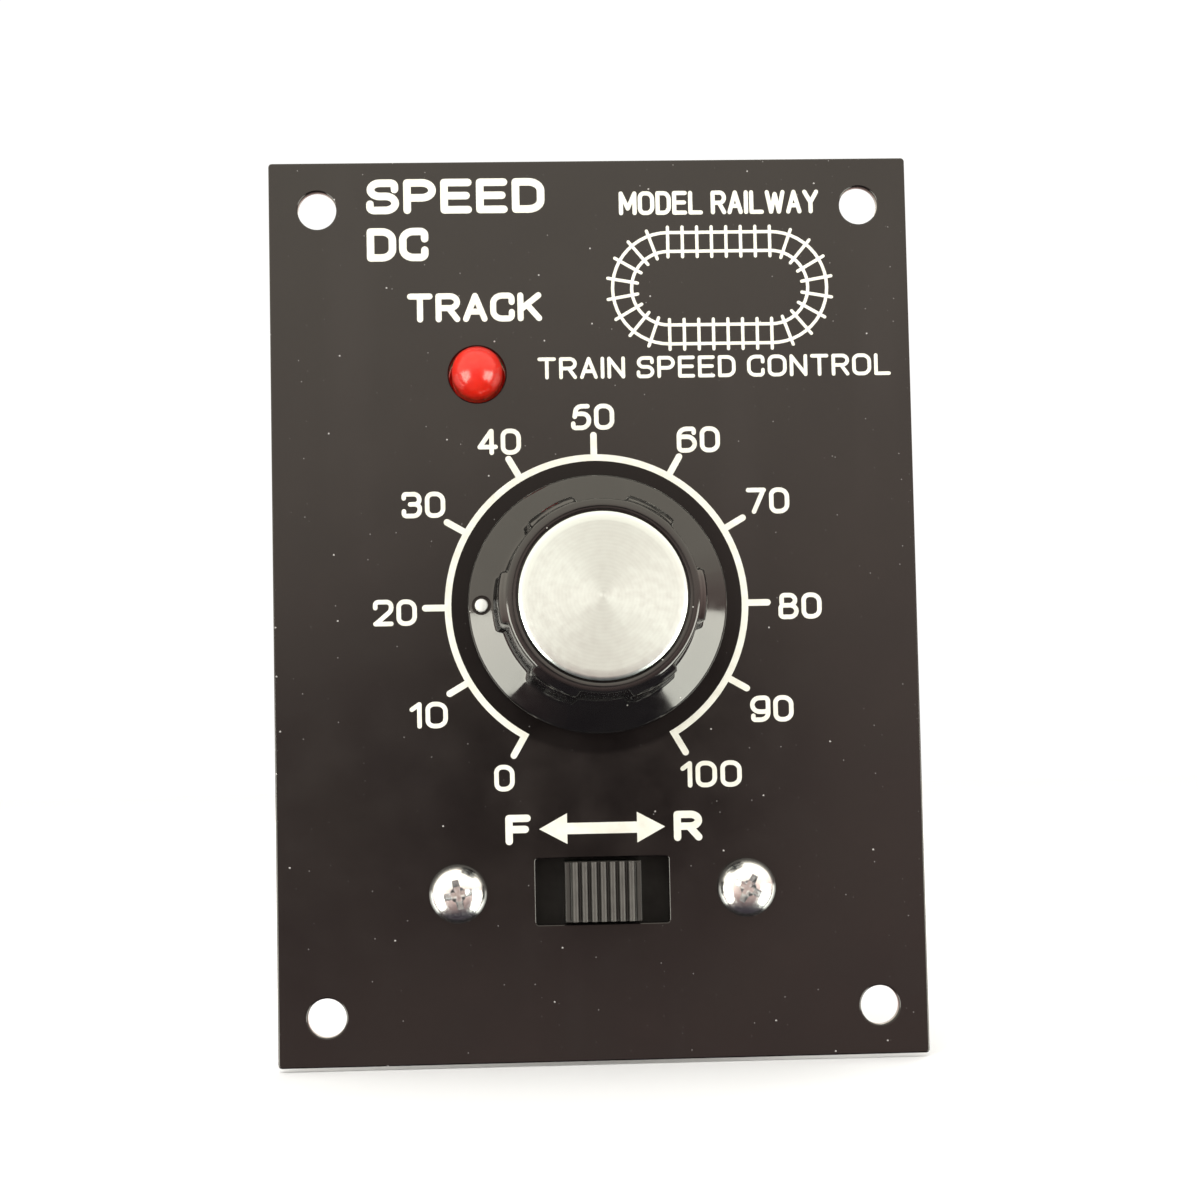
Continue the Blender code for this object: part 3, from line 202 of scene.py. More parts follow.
class Look(Graph):
    """A procedural material; the methods that make nodes return an output."""

    def __init__(self, name, slot, **uniform):
        self.slot = slot
        self.material = bpy.data.materials.new(name)
        self.material.use_nodes = True
        super().__init__(self.material.node_tree)
        self.shader = self.tree.nodes["Principled BSDF"]
        for socket, value in uniform.items():
            self.shader.inputs[socket.replace("_", " ")].default_value = value
        self.object = self.node("ShaderNodeTexCoord").outputs["Object"]

    def feed(self, socket, source):
        self.tree.links.new(source, self.shader.inputs[socket])

    def axis(self, name):
        return self.node("ShaderNodeSeparateXYZ", {0: self.object}).outputs[name]

    def flat(self):
        """The place in the XZ plane, as a vector's X and Y."""
        inputs = {"X": self.axis("X"), "Y": self.axis("Z")}
        return self.node("ShaderNodeCombineXYZ", inputs).outputs[0]

    def noise(self, feature, detail=3.0, stretch=(1, 1, 1)):
        """Noise with features of about that size in millimetres, stretched along an axis."""
        place = self.vector("MULTIPLY", self.object, stretch)
        inputs = {"Vector": place, "Scale": 1 / (feature * MM), "Detail": detail}
        return self.node("ShaderNodeTexNoise", inputs).outputs["Fac"]

    def blend(self, factor, first, second):
        """Mix two colours, each of them a colour or another node's output."""
        first, second = [(*c, 1) if isinstance(c, tuple) else c for c in (first, second)]
        inputs = {"Factor": factor, 6: first, 7: second}
        return self.node("ShaderNodeMix", inputs, data_type="RGBA").outputs[2]

    def clouded(self, feature, detail, dark, light):
        """Wander between two colours."""
        return self.blend(self.remap(self.noise(feature, detail), 0, 1), dark, light)

    def bump(self, source, height, under=None):
        """Raise the surface by up to that height in millimetres."""
        inputs = {"Distance": height * MM, "Height": source}
        if under:
            inputs["Normal"] = under
        normal = self.node("ShaderNodeBump", inputs).outputs["Normal"]
        self.feed("Normal", normal)
        return normal

    def specks(self, cell, size, share, seed=0.0):
        """A mask of small round specks in the XZ plane, some of them left out."""
        place = self.vector("ADD", self.flat(), (seed, seed, 0))
        inputs = {"Vector": place, "Scale": 1 / (cell * MM)}
        cells = self.node("ShaderNodeTexVoronoi", inputs, voronoi_dimensions="2D")
        radius = size / cell
        inside = self.remap(cells.outputs["Distance"], 1.0, 0.0, 0.6 * radius, radius)
        chance = self.node("ShaderNodeSeparateColor", {0: cells.outputs["Color"]}).outputs[0]
        chosen = self.node("ShaderNodeMath", {0: chance, 1: share}, operation="LESS_THAN")
        inputs = {0: inside, 1: chosen.outputs[0]}
        return self.node("ShaderNodeMath", inputs, operation="MULTIPLY").outputs[0]


def mottled(name, slot, dark, light, rough, feature=2.0, grain=0.12, height=0.004,
            stretch=(1, 1, 1), **uniform):
    """A finish that wanders between two colours and two roughnesses, with a fine grain."""
    look = Look(name, slot, **uniform)
    look.feed("Base Color", look.clouded(feature, 4.0, dark, light))
    fine = look.noise(grain, 2.0, stretch)
    look.feed("Roughness", look.remap(fine, *rough))
    look.bump(fine, height)
    return look


def enamel_look():
    """Glossy black enamel with orange peel, a little dust, a few wiped smears, and painted shade:
    weaker reflections inside the dial round the knob.
    """
    look = Look("panel_enamel", "black_enamel", IOR=1.5)
    base = look.clouded(14.0, 3.0, (0.0042, 0.0030, 0.0032), (0.0062, 0.0048, 0.0044))
    smear = look.remap(look.noise(9.0, 5.0, (1, 1, 0.18)), 0, 1, 0.58, 0.78)
    base = look.blend(look.remap(smear, 0, 0.35, 0, 1), base, (0.016, 0.013, 0.013))
    for cell, size, share, seed, pale in (
        (1.7, 0.05, 0.14, 0.013, 0.07), (3.1, 0.075, 0.22, 0.029, 0.16),
        (5.3, 0.10, 0.30, 0.0, 0.42),
    ):
        dust = look.specks(cell, size, share, seed)
        base = look.blend(dust, base, (pale, 0.95 * pale, 0.9 * pale))
    look.feed("Base Color", base)
    # Painted shade: within 14.3 to 14.8 mm of the knob's axis the reflections are weakened,
    # standing in for the knob's dark reflection and shadow on the panel.
    reach = look.vector("LENGTH", look.vector("MULTIPLY", look.object, (1, 0, 1)))
    look.feed("Specular IOR Level", look.remap(reach, 0.22, 0.5, 14.3 * MM, 14.8 * MM))
    look.feed("Roughness", look.remap(look.noise(5.0, 4.0), 0.12, 0.20))
    peel = look.bump(look.noise(0.9, 1.0), 0.0006)
    look.bump(dust, 0.02, peel)
    return look


def knob_look():
    """Polished black phenolic with specks of dust."""
    look = Look("knob_phenolic", "black_plastic", IOR=1.6)
    base = look.clouded(6.0, 3.0, (0.0035, 0.0032, 0.0035), (0.0075, 0.0070, 0.0068))
    look.feed("Base Color", look.blend(look.specks(2.6, 0.08, 0.25), base, (0.45, 0.44, 0.40)))
    look.feed("Roughness", look.remap(look.noise(1.5, 4.0), 0.07, 0.14))
    look.bump(look.noise(1.2, 1.0), 0.0003)
    return look


def spun_look():
    """Aluminium spun on a lathe: fine rings about the Y axis and a fan-shaped sheen."""
    look = Look("spun_aluminium_cap", "spun_aluminium", Metallic=1.0, Anisotropic=0.5,
                Anisotropic_Rotation=0.25)
    inputs = {"Vector": look.object, "Scale": 900.0, "Distortion": 1.5, "Detail": 3.0}
    wave = look.node("ShaderNodeTexWave", inputs, wave_type="RINGS", rings_direction="Y")
    rings = wave.outputs["Fac"]
    tone = look.remap(rings, 0, 1, 0, 1)
    look.feed("Base Color", look.blend(tone, (0.60, 0.67, 0.67), (0.62, 0.69, 0.69)))
    look.feed("Roughness", look.remap(look.noise(0.6, 4.0), 0.30, 0.36))
    look.bump(rings, 0.00006)
    tangent = look.node("ShaderNodeTangent", direction_type="RADIAL", axis="Y")
    look.feed("Tangent", tangent.outputs["Tangent"])
    return look


def lens_look():
    """Red tinted epoxy, deeper in the middle, with a polished skin."""
    look = Look("lamp_epoxy", "red_lens", Subsurface_Weight=0.35, Subsurface_Scale=0.0012,
                Subsurface_Radius=(1.0, 0.12, 0.06))
    look.feed("Base Color", look.clouded(1.6, 3.0, (0.66, 0.012, 0.006), (0.82, 0.024, 0.009)))
    look.feed("Roughness", look.remap(look.noise(0.5, 2.0), 0.17, 0.26))
    look.bump(look.noise(0.8, 1.0), 0.0004)
    return look


def nylon_look():
    """Black nylon with a painted highlight, a lighter colour on the crests of the ribs, and
    painted shade, its reflections weakened further down its sides into the slot.
    """
    look = Look("slider_nylon", "ribbed_plastic")
    cloud = look.remap(look.noise(1.5, 4.0), 0, 1)
    body = look.blend(cloud, (0.012, 0.011, 0.010), (0.018, 0.017, 0.015))
    crest_highlight_colour = look.blend(cloud, (0.040, 0.037, 0.033), (0.062, 0.058, 0.051))
    depth = look.axis("Y")
    # Painted highlight: the crests of the ribs get a lighter colour than the grooves.
    top = look.remap(depth, 1, 0, -3.68 * MM, -3.38 * MM)
    look.feed("Base Color", look.blend(top, body, crest_highlight_colour))
    # Painted shade: the reflections fade further back, down the sides into the slot.
    look.feed("Specular IOR Level", look.remap(depth, 0.5, 0.12, -2.9 * MM, -1.4 * MM))
    grain = look.noise(0.15, 2.0)
    look.feed("Roughness", look.remap(grain, 0.36, 0.50))
    look.bump(grain, 0.002)
    return look


def board_look():
    """Green solder resist over woven glass: a fine square weave under a gloss."""
    look = Look("solder_resist", "green_board", Coat_Weight=0.25, Coat_Roughness=0.15)
    inputs = {"Vector": look.flat(), "Scale": 900.0, "Mortar Size": 0.03}
    weave = look.node("ShaderNodeTexBrick", inputs, offset=0.5).outputs["Fac"]
    base = look.clouded(8.0, 4.0, (0.010, 0.085, 0.030), (0.016, 0.120, 0.045))
    threads = look.remap(weave, 0, 0.35, 0, 1)
    look.feed("Base Color", look.blend(threads, base, (0.03, 0.17, 0.07)))
    look.feed("Roughness", look.remap(look.noise(1.0, 3.0), 0.28, 0.42))
    look.bump(weave, 0.004)
    return look


def band_look(name, slot, dark, light, rough=(0.35, 0.5), **uniform):
    """A painted colour band."""
    return mottled(name, slot, dark, light, rough, 0.5, 0.1, 0.004, **uniform)


LOOKS = {
    "enamel": enamel_look(),
    "ink": mottled("white_ink", "white_marking", (0.80, 0.78, 0.66), (0.92, 0.91, 0.80),
                   (0.38, 0.55), 1.2, 0.15, 0.003),
    "phenolic": knob_look(),
    "spun": spun_look(),
    "dot_paint": mottled("dot_paint", "white_marking", (0.80, 0.80, 0.74), (0.90, 0.90, 0.84),
                         (0.35, 0.5), 0.5, 0.1, 0.004),
    "lens": lens_look(),
    "ribbed": nylon_look(),
    "zinc": mottled("zinc_plate", "bright_zinc", (0.68, 0.70, 0.72), (0.80, 0.82, 0.83),
                    (0.14, 0.26), 0.8, 0.2, 0.0015, Metallic=1.0),
    "steel": mottled("plated_steel", "tinned_metal", (0.60, 0.59, 0.56), (0.74, 0.73, 0.70),
                     (0.26, 0.44), 3.0, 0.15, 0.004, (1, 1, 8), Metallic=1.0),
    "die_cast": mottled("die_cast_zinc", "tinned_metal", (0.45, 0.45, 0.45), (0.60, 0.60, 0.59),
                        (0.40, 0.60), 1.5, 0.2, 0.012, Metallic=1.0),
    "solder": mottled("solder", "tinned_metal", (0.72, 0.72, 0.72), (0.86, 0.86, 0.87),
                      (0.20, 0.38), 0.6, 0.3, 0.0015, Metallic=1.0),
    "brass": mottled("rolled_brass", "brass", (0.60, 0.42, 0.17), (0.76, 0.57, 0.27),
                     (0.24, 0.42), 1.2, 0.12, 0.003, (1, 1, 6), Metallic=1.0),
    "paxolin": mottled("paxolin", "brown_laminate", (0.15, 0.065, 0.022), (0.26, 0.125, 0.048),
                       (0.42, 0.60), 1.6, 0.18, 0.006, (1, 6, 1)),
    "carbon": mottled("carbon_track", "carbon_film", (0.014, 0.014, 0.014), (0.030, 0.029, 0.028),
                      (0.35, 0.55), 0.8, 0.08, 0.004),
    "board": board_look(),
    "track": mottled("masked_track", "green_board", (0.024, 0.155, 0.062),
                     (0.036, 0.195, 0.082), (0.25, 0.4), 3.0, 0.4, 0.004, Coat_Weight=0.25),
    "legend": mottled("board_legend", "white_marking", (0.70, 0.71, 0.66), (0.84, 0.85, 0.80),
                      (0.45, 0.65), 1.0, 0.1, 0.003),
    "epoxy": mottled("moulded_epoxy_body", "moulded_epoxy", (0.010, 0.010, 0.011),
                     (0.020, 0.020, 0.021), (0.42, 0.62), 1.4, 0.07, 0.010),
    "anodised": mottled("black_anodising", "black_anodised", (0.010, 0.010, 0.012),
                        (0.024, 0.024, 0.026), (0.34, 0.50), 4.0, 0.2, 0.008, (1, 0.08, 1),
                        Metallic=0.5),
    "sleeve": mottled("shrink_sleeve", "capacitor_sleeve", (0.006, 0.014, 0.065),
                      (0.010, 0.024, 0.105), (0.20, 0.34), 3.0, 0.5, 0.0012),
    "stripe": mottled("sleeve_stripe", "white_marking", (0.50, 0.58, 0.66), (0.62, 0.70, 0.78),
                      (0.25, 0.38), 2.0, 0.3, 0.004),
    "can_top": mottled("pressed_aluminium", "spun_aluminium", (0.66, 0.66, 0.67),
                       (0.80, 0.80, 0.80), (0.28, 0.44), 1.0, 0.1, 0.004, Metallic=1.0),
    "rubber": mottled("rubber_bung", "moulded_epoxy", (0.012, 0.012, 0.012),
                      (0.022, 0.022, 0.022), (0.6, 0.8), 1.0, 0.1, 0.01),
    "polyamide": mottled("terminal_polyamide", "terminal_green", (0.012, 0.150, 0.052),
                         (0.020, 0.200, 0.075), (0.34, 0.50), 2.2, 0.09, 0.006),
    "lacquer": mottled("resistor_body_lacquer", "resistor_lacquer", (0.48, 0.33, 0.18),
                       (0.62, 0.46, 0.28), (0.32, 0.48), 0.8, 0.12, 0.008),
    "dipped_red": mottled("dipped_red_epoxy", "film_capacitor_red", (0.32, 0.030, 0.014),
                          (0.46, 0.055, 0.024), (0.22, 0.36), 1.2, 0.6, 0.006),
    "dipped_yellow": mottled("dipped_yellow_epoxy", "cutout_yellow", (0.62, 0.36, 0.020),
                             (0.78, 0.50, 0.045), (0.30, 0.46), 1.4, 0.6, 0.006),
    "band_brown": band_look("band_brown", "resistor_lacquer", (0.09, 0.030, 0.010),
                            (0.13, 0.048, 0.018)),
    "band_black": band_look("band_black", "moulded_epoxy", (0.006, 0.006, 0.006),
                            (0.013, 0.013, 0.013)),
    "band_red": band_look("band_red", "film_capacitor_red", (0.38, 0.020, 0.014),
                          (0.50, 0.035, 0.022)),
    "band_gold": band_look("band_gold", "brass", (0.55, 0.36, 0.10), (0.68, 0.47, 0.17),
                           (0.3, 0.45), Metallic=0.8),
    "band_silver": band_look("band_silver", "tinned_metal", (0.56, 0.56, 0.56),
                             (0.70, 0.70, 0.70), (0.3, 0.45), Metallic=0.8),
}


# ---------------------------------------------------------------- modelling helpers (millimetres)

FRONT = -1.2  # the panel's front face
REAR = 16.2  # the plane that the rear parts stand on
BOARD_FRONT = 14.3
BOARD_REAR = 15.9
LEAD_END = 14.2
PIN_PITCH = 2.54
INK = 0.035  # the thickness of the print
SHARP = math.radians(33)


def forward(height):
    """The Y of a height in front of the panel's front face."""
    return FRONT - height


def add_piece(name, bm, look, stands_for=(), body=HOUSING):
    """Turn a bmesh in millimetres into a named piece that rides on a body."""
    bmesh.ops.recalc_face_normals(bm, faces=bm.faces)
    bmesh.ops.scale(bm, verts=bm.verts, vec=(MM, MM, MM))
    mesh = bpy.data.meshes.new(name)
    bm.to_mesh(mesh)
    bm.free()
    mesh.shade_smooth()
    mesh.set_sharp_from_angle(angle=SHARP)
    for face in mesh.polygons:
        face.use_smooth = max(abs(part) for part in face.normal) < 0.99999
    mesh.materials.append(LOOKS[look].material)
    piece = bpy.data.objects.new(name, mesh)
    scene.collection.objects.link(piece)
    weighted = piece.modifiers.new("weighted", "WEIGHTED_NORMAL")
    weighted.keep_sharp = True
    weighted.weight = 90
    graph = bpy.context.evaluated_depsgraph_get()
    piece.data = bpy.data.meshes.new_from_object(piece.evaluated_get(graph))
    piece.modifiers.clear()
    bpy.data.meshes.remove(mesh)
    piece.data.name = name
    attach(piece, body)
    if stands_for:
        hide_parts(*stands_for)
    return piece


def keep_cad(look, *nodes):
    """Give carried-over CAD nodes a detailed finish."""
    for node in nodes:
        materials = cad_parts[node].data.materials
        for i in range(len(materials)):
            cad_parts[node].material_slots[i].material = LOOKS[look].material


def temporary(bm):
    bmesh.ops.recalc_face_normals(bm, faces=bm.faces)
    mesh = bpy.data.meshes.new("temporary")
    bm.to_mesh(mesh)
    bm.free()
    made = bpy.data.objects.new("temporary", mesh)
    scene.collection.objects.link(made)
    return made


def settled(target, *helpers):
    """Apply an object's modifiers, remove it and return the result as a bmesh."""
    graph = bpy.context.evaluated_depsgraph_get()
    mesh = bpy.data.meshes.new_from_object(target.evaluated_get(graph))
    for item in (target, *helpers):
        bpy.data.objects.remove(item)
    bm = bmesh.new()
    bm.from_mesh(mesh)
    bpy.data.meshes.remove(mesh)
    return bm


def combined(bm, operation, tools):
    target = temporary(bm)
    helpers = [temporary(tool) for tool in tools]
    for helper in helpers:
        boolean = target.modifiers.new("boolean", "BOOLEAN")
        boolean.operation = operation
        boolean.solver = "EXACT"
        boolean.object = helper
    return settled(target, *helpers)


def cut(bm, *tools):
    return combined(bm, "DIFFERENCE", tools)


def join(bm, *tools):
    return combined(bm, "UNION", tools)


def gathered(*shapes):
    """Put separate shapes into one bmesh."""
    bm = shapes[0]
    for shape in shapes[1:]:
        mesh = bpy.data.meshes.new("gathered")
        shape.to_mesh(mesh)
        shape.free()
        bm.from_mesh(mesh)
        bpy.data.meshes.remove(mesh)
    return bm


def eased(bm, width, segments=2, angle=30):
    """Round the edges that turn by more than an angle."""
    limit = math.radians(angle)
    edges = [e for e in bm.edges if e.is_manifold and e.calc_face_angle() > limit]
    bmesh.ops.bevel(
        bm, geom=edges, offset=width, segments=segments, profile=0.5, affect="EDGES",
        clamp_overlap=True,
    )
    return bm


def moved(bm, place=(0, 0, 0), turn=None):
    if turn:
        bmesh.ops.rotate(bm, verts=bm.verts, matrix=turn)
    bmesh.ops.translate(bm, verts=bm.verts, vec=place)
    return bm


def about(axis, degrees):
    return Matrix.Rotation(math.radians(degrees), 3, axis)


def block(low, high, width=0.0, segments=2):
    """A box between two corners, with rounded edges."""
    bm = bmesh.new()
    bmesh.ops.create_cube(bm, size=1.0)
    bmesh.ops.scale(bm, verts=bm.verts, vec=[b - a for a, b in zip(low, high)])
    bmesh.ops.translate(bm, verts=bm.verts, vec=[0.5 * (a + b) for a, b in zip(low, high)])
    return eased(bm, width, segments) if width else bm


def extruded(points, direction):
    bm = bmesh.new()
    face = bm.faces.new([bm.verts.new(point) for point in points])
    made = bmesh.ops.extrude_face_region(bm, geom=[face])
    top = [item for item in made["geom"] if isinstance(item, bmesh.types.BMVert)]
    bmesh.ops.translate(bm, verts=top, vec=direction)
    return bm


def prism(outline, low_y, high_y):
    """Extrude an outline of (x, z) points along Y."""
    return extruded([(x, low_y, z) for x, z in outline], (0, high_y - low_y, 0))


def along_x(outline, half):
    return extruded([(-half, y, z) for y, z in outline], (2 * half, 0, 0))


def along_z(outline, half):
    return extruded([(x, y, -half) for x, y in outline], (0, 0, 2 * half))


def arc(radius, start, end, steps, x=0.0, z=0.0):
    """Points on an arc in the XZ plane, by degrees from +X towards +Z."""
    angles = [math.radians(start + i * (end - start) / steps) for i in range(steps + 1)]
    return [(x + radius * math.cos(a), z + radius * math.sin(a)) for a in angles]


def disc(radius, x=0.0, z=0.0, sides=48):
    return arc(radius, 0, 360, sides, x, z)[:-1]


def rounded(half_x, half_z, corner, x=0.0, z=0.0, steps=5):
    """The outline of a rectangle with rounded corners."""
    points = []
    for quarter, (a, b) in enumerate(((1, 1), (-1, 1), (-1, -1), (1, -1))):
        place = (x + a * (half_x - corner), z + b * (half_z - corner))
        points += arc(corner, 90 * quarter, 90 * quarter + 90, steps, *place)
    return points


def turned(profile, sides=64, hollow=False):
    """Spin a profile of (radius, y) points about Y; a hollow one is a closed loop."""
    bm = bmesh.new()
    verts = [bm.verts.new((radius, y, 0)) for radius, y in profile]
    edges = [bm.edges.new(pair) for pair in zip(verts, verts[1:])]
    if hollow:
        edges.append(bm.edges.new((verts[-1], verts[0])))
    bmesh.ops.spin(
        bm, geom=verts + edges, cent=(0, 0, 0), axis=(0, 1, 0),
        angle=2 * math.pi, steps=sides, use_merge=True,
    )
    bmesh.ops.remove_doubles(bm, verts=bm.verts, dist=0.0005)
    return bm


def rod(radius, low_y, high_y, sides=32):
    """A solid cylinder along Y, to cut or join with."""
    return turned([(0, low_y), (radius, low_y), (radius, high_y), (0, high_y)], sides)


def bore(x, y, z):
    """A cutter for a clearance hole along X."""
    return moved(rod(1.75, -3, 3, 40), (x, y, z), about("Z", 90))


def swept(path, section, up):
    """Carry a section of (side, up) points along a flat path whose normal is up."""
    path = [Vector(point) for point in path]
    up = Vector(up)
    bm = bmesh.new()
    rings = []
    for i, point in enumerate(path):
        after = (path[min(i + 1, len(path) - 1)] - path[min(i, len(path) - 2)]).normalized()
        before = (path[max(i, 1)] - path[max(i - 1, 0)]).normalized()
        along = (before + after).normalized()
        side = along.cross(up) / along.dot(after)
        rings.append([bm.verts.new(point + side * a + up * b) for a, b in section])
    for first, second in zip(rings, rings[1:]):
        for i in range(len(section)):
            j = (i + 1) % len(section)
            bm.faces.new((first[i], first[j], second[j], second[i]))
    bm.faces.new(rings[0])
    bm.faces.new(rings[-1][::-1])
    return bm


def bent(points, radius, steps=4):
    """Replace the corners of a path with arcs."""
    points = [Vector(point) for point in points]
    path = [points[0]]
    for before, corner, after in zip(points, points[1:], points[2:]):
        inward, outward = (before - corner).normalized(), (after - corner).normalized()
        half = 0.5 * inward.angle(outward)
        room = 0.499 * min((before - corner).length, (after - corner).length)
        reach = min(radius / math.tan(half), room)
        centre = corner + (inward + outward).normalized() * (reach / math.cos(half))
        first, last = corner + inward * reach - centre, corner + outward * reach - centre
        for i in range(steps + 1):
            path.append(centre + first.slerp(last, i / steps).normalized() * first.length)
    return path + [points[-1]]


def wire(points, radius, up, bend=0.6, sides=12):
    section = disc(radius, sides=sides)
    return swept(bent(points, bend) if len(points) > 2 else points, section, up)


def strip(points, width, sheet, up, bend=0.4):
    """A bent metal strip whose width lies along up."""
    section = rounded(0.5 * sheet, 0.5 * width, 0.3 * sheet, steps=2)
    return swept(bent(points, bend) if len(points) > 2 else points, section, up)


def add_leads(name, places, top, up=(0, 0, 1)):
    """Round wires from the board's front side up to a part behind it."""
    wires = [wire([(x, LEAD_END, z), (x, top, z)], 0.3, up) for x, z in places]
    add_piece(f"{name}_leads", gathered(*wires), "solder")


def plate(outlines, low_y, high_y, edge):
    """A flat plate in the XZ plane: the first outline is its rim, the others are holes."""
    curve = bpy.data.curves.new("plate", "CURVE")
    curve.dimensions = "2D"
    curve.fill_mode = "BOTH"
    curve.extrude = 0.5 * (high_y - low_y) - edge
    curve.bevel_depth = edge
    curve.bevel_resolution = 2
    curve.offset = -edge
    for outline in outlines:
        spline = curve.splines.new("POLY")
        spline.points.add(len(outline) - 1)
        spline.use_cyclic_u = True
        for point, (x, z) in zip(spline.points, outline):
            point.co = (x, z, 0, 1)
    made = bpy.data.objects.new("plate", curve)
    scene.collection.objects.link(made)
    bm = settled(made)
    bmesh.ops.remove_doubles(bm, verts=bm.verts, dist=0.0005)
    return moved(bm, (0, 0.5 * (low_y + high_y), 0), about("X", 90))


# Strokes of each character, as runs of points on a grid 4 wide and 6 high. A run that
# ends where it began is closed, and corners are rounded where they are right angles.
GLYPHS = {
    "0": "0,3 0,6 4,6 4,0 0,0 0,3",
    "1": "0,4.6 1.7,6 / 1.7,6 1.7,0",
    "2": "0,4.4 0,6 4,6 4,3.6 0.1,0 / 0,0 4,0",
    "3": "0,4.9 0,6 3.9,6 3.9,3.2 1.6,3.2 / 1.6,3.2 4,3.2 4,0 0,0 0,1.3",
    "4": "3,0 3,6 / 2.9,6 0,1.6 / 0,1.6 4,1.6",
    "5": "3.7,6 0.8,6 0.4,3.1 / 0.4,3.1 0.7,3.9 4,3.9 4,0 0,0 0,1.2",
    "6": "3.8,4.9 3.8,6 0,6 0,1.9 / 0,1.9 0,3.8 4,3.8 4,0 0,0 0,1.9",
    "7": "0,6 4,6 / 3.9,6 1.4,0",
    "8": "0.3,4.6 0.3,6 3.7,6 3.7,3.2 0.3,3.2 0.3,4.6 / 0,1.6 0,3.2 4,3.2 4,0 0,0 0,1.6",
    "9": "0.2,1.1 0.2,0 4,0 4,4.1 / 4,4.1 4,2.2 0,2.2 0,6 4,6 4,4.1",
    "A": "0,0 2,6 / 2,6 4,0 / 0.8,1.9 3.2,1.9",
    "C": "4,4.3 4,6 0,6 0,0 4,0 4,1.7",
    "D": "0,0 0,6 / 0,6 4,6 4,0 0,0",
    "E": "0,0 0,6 / 0,6 3.8,6 / 0,3.1 3.5,3.1 / 0,0 3.8,0",
    "F": "0,0 0,6 / 0,6 3.7,6 / 0,3.1 3.3,3.1",
    "I": "0,0 0,6",
    "K": "0,0 0,6 / 3.9,6 0,2.3 / 1.4,3.6 4,0",
    "L": "0,6 0,0 / 0,0 3.7,0",
    "M": "0,0 0,6 / 0,6 2.4,1.4 / 2.4,1.4 4.8,6 / 4.8,6 4.8,0",
    "N": "0,0 0,6 / 0,6 4,0 / 4,0 4,6",
    "O": "0,3 0,6 4.4,6 4.4,0 0,0 0,3",
    "P": "0,0 0,6 / 0,6 4,6 4,2.7 0,2.7",
    "R": "0,0 0,6 / 0,6 4,6 4,2.9 0,2.9 / 2.2,2.9 4,0",
    "S": "3.9,4.6 3.9,6 0.1,6 0.1,3.1 4,3.1 4,0 0,0 0,1.4",
    "T": "0,6 4.2,6 / 2.1,6 2.1,0",
    "W": "0,6 1.4,0 / 1.4,0 2.8,5.4 / 2.8,5.4 4.2,0 / 4.2,0 5.6,6",
    "Y": "0,6 2.1,2.8 / 4.2,6 2.1,2.8 / 2.1,2.8 2.1,0",
}
CORNER = 1.95  # the radius of a rounded corner, in grid units
SPACING = 1.9
WORD_SPACE = 2.4


def stroke(points, width, low_y, high_y):
    """A flat line through (x, z) points: a closed ring, or a run with rounded ends."""
    points = [Vector((x, z)) for x, z in points]
    closed = (points[0] - points[-1]).length < 1e-6
    if closed:
        points.pop()
    sides = ([], [])
    count = len(points)
    for i, point in enumerate(points):
        before = points[i - 1] if closed or i else point
        after = points[(i + 1) % count] if closed or i < count - 1 else point
        into, out = (point - before).normalized(), (after - point).normalized()
        along = (into + out).normalized()
        side = Vector((-along.y, along.x)) / along.dot(out if out.length else into)
        for edge, sign in zip(sides, (0.5, -0.5)):
            edge.append(point + side * sign * width)
    if not closed:
        caps = []
        for tip, inner in ((points[-1], points[-2]), (points[0], points[1])):
            heading = math.degrees(math.atan2(*(tip - inner).yx))
            caps.append(arc(0.5 * width, heading + 90, heading - 90, 6, *tip)[1:-1])
        return prism(sides[0] + caps[0] + sides[1][::-1] + caps[1], low_y, high_y)
    bm = bmesh.new()
    left, right = sides
    rings = [
        [bm.verts.new((p.x, y, p.y)) for p in edge]
        for edge, y in ((left, low_y), (left, high_y), (right, high_y), (right, low_y))
    ]
    for first, second in zip(rings, rings[1:] + rings[:1]):
        for i in range(count):
            j = (i + 1) % count
            bm.faces.new((first[i], first[j], second[j], second[i]))
    return bm


def words_strokes(words, low, high, width, facing=1):
    """The strokes of a line of words that fills a box of (x, z) corners, by rank."""
    runs = []
    pen = 0.0
    for letter in words:
        if letter == " ":
            pen += WORD_SPACE
            continue
        glyph = [
            [tuple(float(number) for number in point.split(",")) for point in run.split()]
            for run in GLYPHS[letter].split("/")
        ]
        left = min(x for run in glyph for x, z in run)
        right = max(x for run in glyph for x, z in run)
        for rank, run in enumerate(glyph):
            flat = [(x - left + pen, 0, z) for x, z in run]
            smooth_run = bent(flat, CORNER, 6) if len(flat) > 2 else [Vector(p) for p in flat]
            runs.append((rank, [(p.x, p.z) for p in smooth_run]))
        pen += right - left + SPACING
    total = pen - SPACING
    scale_x = (high[0] - low[0] - width) / total if total > 0 else 0
    scale_z = (high[1] - low[1] - width) / 6
    left, foot = low[0] + 0.5 * width, low[1] + 0.5 * width
    return [
        (rank, [
            (left + (x if facing > 0 else total - x) * scale_x, foot + z * scale_z)
            for x, z in run
        ])
        for rank, run in runs
    ]


def lettering(lines, y=FRONT, depth=INK, facing=1):
    """Lines of (words, low corner, high corner, stroke width) as one thin raised solid."""
    ranks = {}
    for words, low, high, width in lines:
        for rank, points in words_strokes(words, low, high, width, facing):
            rise = depth * (1 - 0.06 * rank)
            ends = sorted((y + 0.1 * facing * depth, y - facing * rise))
            ranks.setdefault(rank, []).append(stroke(points, width, *ends))
    shapes = [gathered(*strokes) for rank, strokes in sorted(ranks.items())]
    return join(*shapes) if len(shapes) > 1 else shapes[0]


# ---------------------------------------------------------------- front panel and its print

SWITCH_Z = -27.95
SCREW_X = 14.1
SWITCH_TAGS = (-4.7, 0.0, 4.7)
LAMP = (-11.4, 23.1)


